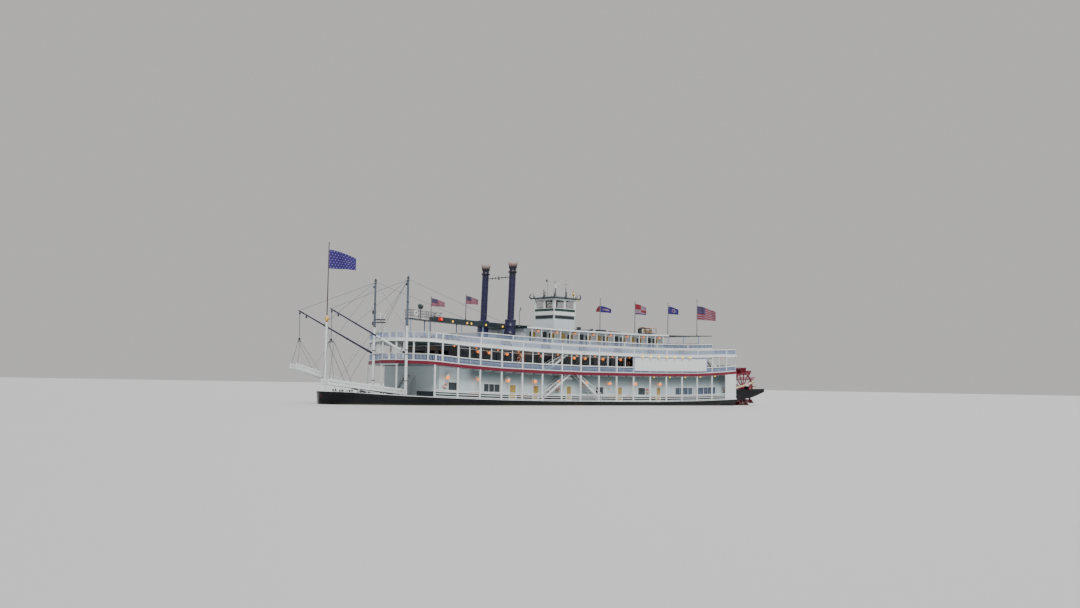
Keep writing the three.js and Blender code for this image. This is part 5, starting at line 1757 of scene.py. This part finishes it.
def roof_irons():
    cresting = [(0.003, 0), (0.005, 0.010), (0.002, 0.016), (0.0035, 0.022), (0.0008, 0.032)]
    irons = [corner_curl(sx, sy) for sx, sy in PILOT_CORNERS]
    for sx, sy, height in ((-1, 0, 0.115), (1, 0, 0.115), (0, -1, 0.115), (0, 1, 0.135)):
        for shift_along in (-0.5, 0.0, 0.5):
            x = PILOT_X + sx * (REACH_X + EAVE - 0.004) + (0 if sx else shift_along * 0.36)
            y = sy * (REACH_Y + EAVE - 0.004) + (0 if sy else shift_along * 0.34)
            irons.append(turned("cresting", cresting, 8, (x, y, ROOF_TOP)))
        irons.append(spire(PILOT_X + sx * (REACH_X + EAVE * 0.5), sy * (REACH_Y + EAVE * 0.5), height))
    dress_all("pilothouse_irons", irons, shadow_blue)


def aerials():
    parts = []
    for distance, y, top in AERIALS:
        x = aft(distance)
        parts.append(round_bar("aerial", (x, y, ROOF_Z + 0.012), (x, y, top), 0.0026, 0.0014, 6))
    parts.append(square_bar("yard", (aft(3.947), -0.02, 1.845), (aft(3.947), 0.09, 1.845), 0.003, 0.003))
    parts.append(square_bar("yard", (aft(3.64), -0.03, 1.868), (aft(3.72), -0.03, 1.868), 0.003, 0.003))
    dress_all("aerials", parts, steel)
    lantern = [(0.010, 0), (0.013, 0.006), (0.013, 0.022), (0.009, 0.028), (0.002, 0.034)]
    dress(turned("lantern", lantern, 12, (aft(3.64), -0.03, 1.864)), steel)


def radar_and_finials():
    bar = block("radar", (PILOT_X - 0.010, -0.075, 1.828), (PILOT_X + 0.010, 0.075, 1.842))
    stand = [(0.020, 0), (0.020, 0.004), (0.012, 0.010), (0.012, 0.03), (0.008, 0.04)]
    dress_all("radar", [bevelled(bar, 0.004, 2), turned("stand", stand, 12, (PILOT_X, 0, 1.79))], white_trim)
    gold = [(0.012, 0), (0.012, 0.006), (0.006, 0.012), (0.005, 0.045), (0.011, 0.052), (0.018, 0.064),
            (0.017, 0.074), (0.009, 0.086), (0.012, 0.094), (0.005, 0.110), (0.001, 0.124)]
    finial = turned("finial", gold, 8, (aft(3.985), 0.150, ROOF_TOP))
    knob = turned("knob", ball(0.014, 0.0, 8), 14, (aft(4.016), 0.218, ROOF_Z - 0.004))
    dress_all("gilded_finials", [finial, knob], gilt)


roof_irons()
aerials()
radar_and_finials()
print("pilothouse dressed")

# %% [markdown]
# Between the stacks and the stern, the texas roof carries low vents, lockers, a life raft in
# its canister and a steam organ: a row of brass pipes on a table under a curved red-brown
# hood. A dark board closes the roof's front edge.


# %% Fittings on the texas roof
def on_roof(distance, sunk):
    return top_of["texas_roof"](aft(distance)) - sunk


def locker(distance, y, length, width, height):
    x, z = aft(distance), on_roof(distance, 0.003)
    body = block("locker", (x - length / 2, y - width / 2, z), (x + length / 2, y + width / 2, z + height))
    lid = block("lid", (x - length / 2 - 0.004, y - width / 2 - 0.004, z + height - 0.001),
                (x + length / 2 + 0.004, y + width / 2 + 0.004, z + height + 0.006))
    return [bevelled(body, 0.003), bevelled(lid, 0.002)]


def mushroom(distance, y, size=1.0):
    rings = [(radius * size, z * size) for radius, z in (
        (0.014, 0), (0.011, 0.004), (0.011, 0.026), (0.024, 0.030), (0.022, 0.040), (0.010, 0.046), (0.001, 0.047))]
    return turned("vent", rings, 14, (aft(distance), y, on_roof(distance, 0.002)))


def skylight(distance):
    x, z = aft(distance), on_roof(distance, 0.004)
    piece = block("skylight", (x - 0.11, -0.07, z), (x + 0.11, 0.07, z + 0.028))
    choose_top(piece)
    bpy.ops.mesh.inset(thickness=0.008)
    extrude((0, 0, 0.018), (1, 0.25, 1), (x, 0, z))
    leave_edit_mode()
    return piece


def roof_fittings():
    dark = [*locker(4.03, 0.22, 0.044, 0.044, 0.055), *locker(5.33, 0.20, 0.046, 0.046, 0.085),
            *locker(4.60, -0.18, 0.16, 0.10, 0.05), mushroom(4.27, 0.24)]
    dark += [mushroom(distance, -0.26, 1.1) for distance in (3.25, 4.40, 5.05)]
    z = on_roof(4.46, 0.002)
    raft = block("raft", (aft(4.55), 0.20, z + 0.006), (aft(4.37), 0.27, z + 0.042))
    dark.append(bevelled(raft, 0.016, 4))
    for x in (aft(4.41), aft(4.51)):
        dark.append(block("cradle", (x - 0.006, 0.195, z), (x + 0.006, 0.275, z + 0.014)))
    dress_all("roof_fittings", dark, shadow_blue)
    dress_all("skylights", [skylight(4.30), skylight(5.00)], shadow_blue)
    front = [(aft(2.833), y) for y in (-0.45, 0.0, 0.45)]
    low = lambda x: under_of["texas_roof"](x) - 0.004
    dress(ribbon("roof_fascia", front, low, over("texas_roof", 0.008), 0.003), teal)


def steam_organ():
    middle, y = aft(5.555), 0.16
    z = on_roof(5.555, 0.003)
    table = block("table", (middle - 0.10, y - 0.05, z + 0.022), (middle + 0.10, y + 0.05, z + 0.032))
    parts = [bevelled(table, 0.002)]
    for x in (middle - 0.115, middle + 0.115):
        for side in (-0.06, 0.06):
            parts.append(square_bar("post", (x, y + side, z), (x, y + side, z + 0.098), 0.006, 0.006))
    dress_all("organ_frame", parts, shadow_blue)
    pipes = []
    for k in range(16):
        height = 0.034 + 0.0016 * abs(k - 7.5) * 1.8
        rings = [(0.002, 0), (0.002, 0.010), (0.0046, 0.012), (0.0046, height), (0.002, height + 0.004)]
        place = (middle - 0.090 + k * 0.012, y + (0.012 if k % 2 else -0.012), z + 0.030)
        pipes.append(turned("pipe", rings, 8, place))
    dress_all("organ_pipes", pipes, gilt)
    hood = block("hood", (middle - 0.125, y - 0.07, z + 0.096), (middle + 0.125, y + 0.07, z + 0.103))
    choose(hood, lambda centre, normal: True)
    bpy.ops.mesh.subdivide(number_cuts=5)
    leave_edit_mode()
    for vertex in hood.data.vertices:
        share = (vertex.co.y - y) / 0.07
        vertex.co.z += 0.012 * (1 - share * share)
    dress(done(bevelled(hood, 0.0015)), hood_brown)


roof_fittings()
steam_organ()

# %% [markdown]
# The bridge walk ends forward in a narrow lookout platform. It has pipe rails with ball ends,
# a ring buoy, and a searchlight on a post. The side lights are on the walk's deep sides: red
# to port and green to starboard. The walk and the canopy aft are dark above, and below they
# are white darkened to a pale blue as painted shade; the line between the two follows the
# deck's sheer.


# %% Lookout, side lights and bow lamps
WALK_HALF = 0.060
LOOKOUT_RISE = 0.287
RAIL_RISES = (0.040, 0.072, 0.105)
LOOKOUT_FRONT = 1.242
LOOKOUT_BACK = 1.72
THIRD_TOP = top_of["third_deck"]


def canopy_finish(name, underside):
    finish = Finish(name, "teal_paint", Coat_Weight=0.2, Coat_Roughness=0.3)
    cloud = finish.noise(6.0)
    dark = finish.mix((0.010, 0.024, 0.034), (0.018, 0.036, 0.046), cloud)
    over_underside = finish.step(above(finish, "third_deck"), underside - 0.006, underside - 0.003)
    # Below the line the walk and canopy are white, darkened as painted shade.
    return finish.skin(finish.mix(SHADED_WHITE, dark, over_underside), cloud * 0.3 + 0.3,
                       finish.noise(60.0), 0.25, 0.001)


def lookout_rail(start, end, rise):
    ends = [(x, y, THIRD_TOP(x) + LOOKOUT_RISE + rise) for x, y in (start, end)]
    return round_bar("rail", *ends, 0.0030)


def lookout_rails():
    front, back, half_rail = aft(LOOKOUT_FRONT), aft(LOOKOUT_BACK), WALK_HALF - 0.005
    parts = [lookout_rail((front, -half_rail), (front, half_rail), rise) for rise in RAIL_RISES]
    top = LOOKOUT_RISE + RAIL_RISES[-1]
    for y in (-half_rail, half_rail):
        parts += [lookout_rail((front, y), (back, y), rise) for rise in RAIL_RISES]
        parts.append(turned("end", ball(0.0095, 0, 8), 12, (back, y, THIRD_TOP(back) + top)))
        for distance in (LOOKOUT_FRONT, 1.36, 1.48, 1.60, 1.70):
            x = aft(distance)
            low = LOOKOUT_RISE - 0.001 if distance < 1.62 else 0.344
            parts.append(round_bar("post", (x, y, THIRD_TOP(x) + low), (x, y, THIRD_TOP(x) + top), 0.0032))
    dress_all("lookout_rails", parts, wire_steel)
    x = aft(1.315)
    buoy_place = (x, WALK_HALF + 0.006, THIRD_TOP(x) + LOOKOUT_RISE + 0.064)
    dress(done(hoop("lookout_ring_buoy", 0.027, 0.0080, 24, buoy_place)), white_trim)


def searchlight():
    x, foot = aft(1.435), THIRD_TOP(aft(1.435)) + LOOKOUT_RISE
    post = [(0.012, 0), (0.012, 0.004), (0.006, 0.010), (0.006, 0.125), (0.012, 0.130)]
    drum = [(0.006, -0.032), (0.020, -0.028), (0.029, -0.012), (0.030, 0.014), (0.033, 0.016),
            (0.033, 0.021), (0.028, 0.020)]
    yoke = [(-0.038, 0.166), (-0.038, 0.138), (0, 0.127), (0.038, 0.138), (0.038, 0.166)]
    ahead = shift(x, 0, foot + 0.164) @ about("Y", math.pi / 2)
    parts = [turned("post", post, 12, (x, 0.0, foot)), moved(turned("drum", drum, 18), ahead),
             bent_rod("yoke", [(x, y, foot + z) for y, z in yoke], [0.0032], 6)]
    dress_all("searchlight", parts, steel)
    lens = turned("searchlight_lens", [(0.0275, 0.0), (0.024, 0.005), (0.010, 0.008)], 18)
    dress(moved(lens, ahead @ shift(0, 0, 0.0195)), glass)


def side_light(name, side, finish, colour):
    x, y = aft(1.705), side * 0.078
    inner = y - side * 0.016
    z = THIRD_TOP(x) + 0.298
    screen = [block("back", (x - 0.036, inner - 0.002, z), (x + 0.036, inner + 0.002, z + 0.040)),
              block("foot", (x - 0.036, min(y, inner), z - 0.001), (x + 0.036, max(y, inner), z + 0.003))]
    dress(bevelled(join(f"{name}_side_light_screen", screen), 0.0008), finish)
    globe = [(0.008, 0), (0.011, 0.003), (0.011, 0.024), (0.006, 0.030), (0.001, 0.032)]
    dress(turned(f"{name}_side_light", globe, 12, (x - 0.006, y - side * 0.003, z + 0.003)),
          glow_finish(f"{name} side light", colour, 1.5))


def bow_lamps():
    """Two flood lamps on a post by the starboard mast."""
    x, y, foot = on_deck("third_deck", 1.058, -0.430)
    lamp = [(0.008, -0.020), (0.018, -0.016), (0.022, 0.0), (0.022, 0.012), (0.025, 0.014), (0.025, 0.019),
            (0.010, 0.020)]
    post = [(0.012, 0), (0.012, 0.004), (0.006, 0.010), (0.005, 0.345)]
    places = [shift(x + 0.012, y, foot + rise) @ about("Y", math.pi / 2) for rise in (0.345, 0.205)]
    lamps = repeat("lamps", turned("lamp", lamp, 14), places)
    dress_all("bow_lamps", [turned("post", post, 10, (x, y, foot)), lamps], steel)


def line_stand():
    """A small railed stand for the deck's lines, with two shelves."""
    x, y, z = on_deck("third_deck", 1.078, -0.345)
    corners = [(x + dx, y + dy) for dx in (-0.036, 0.036) for dy in (-0.045, 0.045)]
    rails = [wire("leg", (*corner, z), (*corner, z + 0.334), 0.0040) for corner in corners]
    for rise in (z + 0.285, z + 0.330):
        for a, b in ((0, 2), (1, 3), (0, 1), (2, 3)):
            rails.append(wire("rail", (*corners[a], rise), (*corners[b], rise), 0.0026))
    shelves = []
    for low in (z + 0.212, z + 0.246):
        shelf = block("shelf", (x - 0.042, y - 0.052, low), (x + 0.042, y + 0.052, low + 0.014))
        shelves.append(bevelled(shelf, 0.002))
    dress_all("line_stand", rails, white_trim)
    dress_all("line_stand_shelves", shelves, shadow_blue)


paint(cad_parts["bridge_walk"], canopy_finish("bridge walk paint", 0.277))
paint(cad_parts["aft_canopy"], canopy_finish("aft canopy paint", 0.288))
lookout_rails()
searchlight()
side_light("port", 1, port_red, (0.9, 0.03, 0.02))
side_light("starboard", -1, starboard_green, (0.02, 0.7, 0.2))
bow_lamps()
line_stand()
print("lookout and side lights placed")

# %% [markdown]
# The saloon on the second deck is nearly all glass: tall dark windows between white battens,
# over a low panelled dado. On the main deck, white hoods cover the vents on the wall.

# %% Saloon battens and wall hoods
BATTEN_PITCH = POST_PITCH / 2
SALOON_FRONT = aft(1.64)
SALOON_BACK = aft(6.22)


def saloon_front(name, side):
    y = side * 0.5225
    count = int((SALOON_FRONT - SALOON_BACK) / BATTEN_PITCH)
    stations = [SALOON_FRONT - k * BATTEN_PITCH for k in range(count + 1)]
    places = [upright(x, y, top_of["second_deck"](x) + 0.001, third_ceiling(x) - 0.002) for x in stations]
    batten = bevelled(block("batten", (-0.0045, -0.0028, 0), (0.0045, 0.0028, 1)))
    parts = [repeat("battens", batten, places)]
    path = [(x, y) for x in np.linspace(SALOON_FRONT, SALOON_BACK, 24)]
    for low, tall in ((0.002, 0.012), (0.056, 0.007), (0.204, 0.010)):
        high = low + tall
        parts.append(ribbon("sill", path, over("second_deck", low), over("second_deck", high), 0.0052))
    dress_all(f"{name}_saloon_battens", parts, white_trim)


def wall_hood(distance, rise, wide, side):
    x = aft(distance)
    z = top_of["main_deck"](x) + rise
    inner, outer = sorted((side * 0.551, side * 0.58))
    hood = block("hood", (x - wide, inner, z), (x + wide, outer, z + 0.014))
    choose_top(hood)
    extrude((0, 0, 0.018), (0.55, 0.7, 1), (x, side * 0.553, z))
    extrude((0, 0, 0.014), (0.35, 0.5, 1), (x, side * 0.553, z))
    leave_edit_mode()
    return done(hood, 20)


for name, side in SIDES:
    saloon_front(name, side)
hoods = ((1.46, 0.275, 0.052), (3.50, 0.285, 0.052), (2.40, 0.255, 0.045))
dress_all("wall_hoods", [wall_hood(*hood, side) for hood in hoods for _, side in SIDES], white_trim)
print("saloon front and hoods fitted")

# %% [markdown]
# The camera stands where the photographer stood: low over the water, off the port bow, 137
# degrees round. It is tilted up by four degrees and leans by one, and its lens takes in 50
# degrees. The floor lies at the waterline, so the boat sits in it as it sits in the river.

# %% Camera, floor and light
EYE = Vector((11.44, 11.33, 0.441))
HEADING = Vector((-0.6929, -0.7211, 0.0))
PITCH = 0.0702
LEAN = 0.01728
LENS = 38.43


def make_camera():
    forward = (HEADING * math.cos(PITCH) + Vector((0, 0, math.sin(PITCH)))).normalized()
    right = forward.cross(Vector((0, 0, 1))).normalized()
    level = Matrix((right, right.cross(forward), -forward)).transposed()
    camera = new_piece("camera", bpy.data.cameras.new("camera"))
    camera.data.lens = LENS
    camera.matrix_world = Matrix.Translation(EYE) @ (level @ Matrix.Rotation(LEAN, 3, "Z")).to_4x4()
    bpy.context.scene.camera = camera


def soft_sun(name, towards, width, strength, colour):
    """A very wide, soft sun that shines from a direction, the same over the whole floor."""
    light = bpy.data.lights.new(name, "SUN")
    light.energy = strength
    light.angle = math.radians(width)
    light.color = colour
    new_piece(name, light).rotation_euler = Vector(towards).to_track_quat("Z", "Y").to_euler()


def make_floor():
    bpy.ops.mesh.primitive_plane_add(size=400, location=(0, 0, WATERLINE))
    floor = bpy.context.object
    floor.name = "floor"
    paint = bpy.data.materials.new("pale floor")
    paint.use_nodes = True
    shader = paint.node_tree.nodes["Principled BSDF"]
    shader.inputs["Base Color"].default_value = (0.55, 0.56, 0.57, 1)
    shader.inputs["Roughness"].default_value = 0.7
    floor.data.materials.append(paint)


make_camera()
soft_sun("key", (0.55, 0.80, 1.05), 22, 3.4, (1.0, 0.97, 0.94))
soft_sun("fill", (-0.9, -0.5, 0.7), 60, 0.9, (0.94, 0.97, 1.0))
world = bpy.data.worlds.new("studio")
world.use_nodes = True
background = world.node_tree.nodes["Background"]
background.inputs["Color"].default_value = (0.91, 0.89, 0.88, 1)
background.inputs["Strength"].default_value = 0.6
bpy.context.scene.world = world
make_floor()
print("camera at", [round(v, 2) for v in EYE])
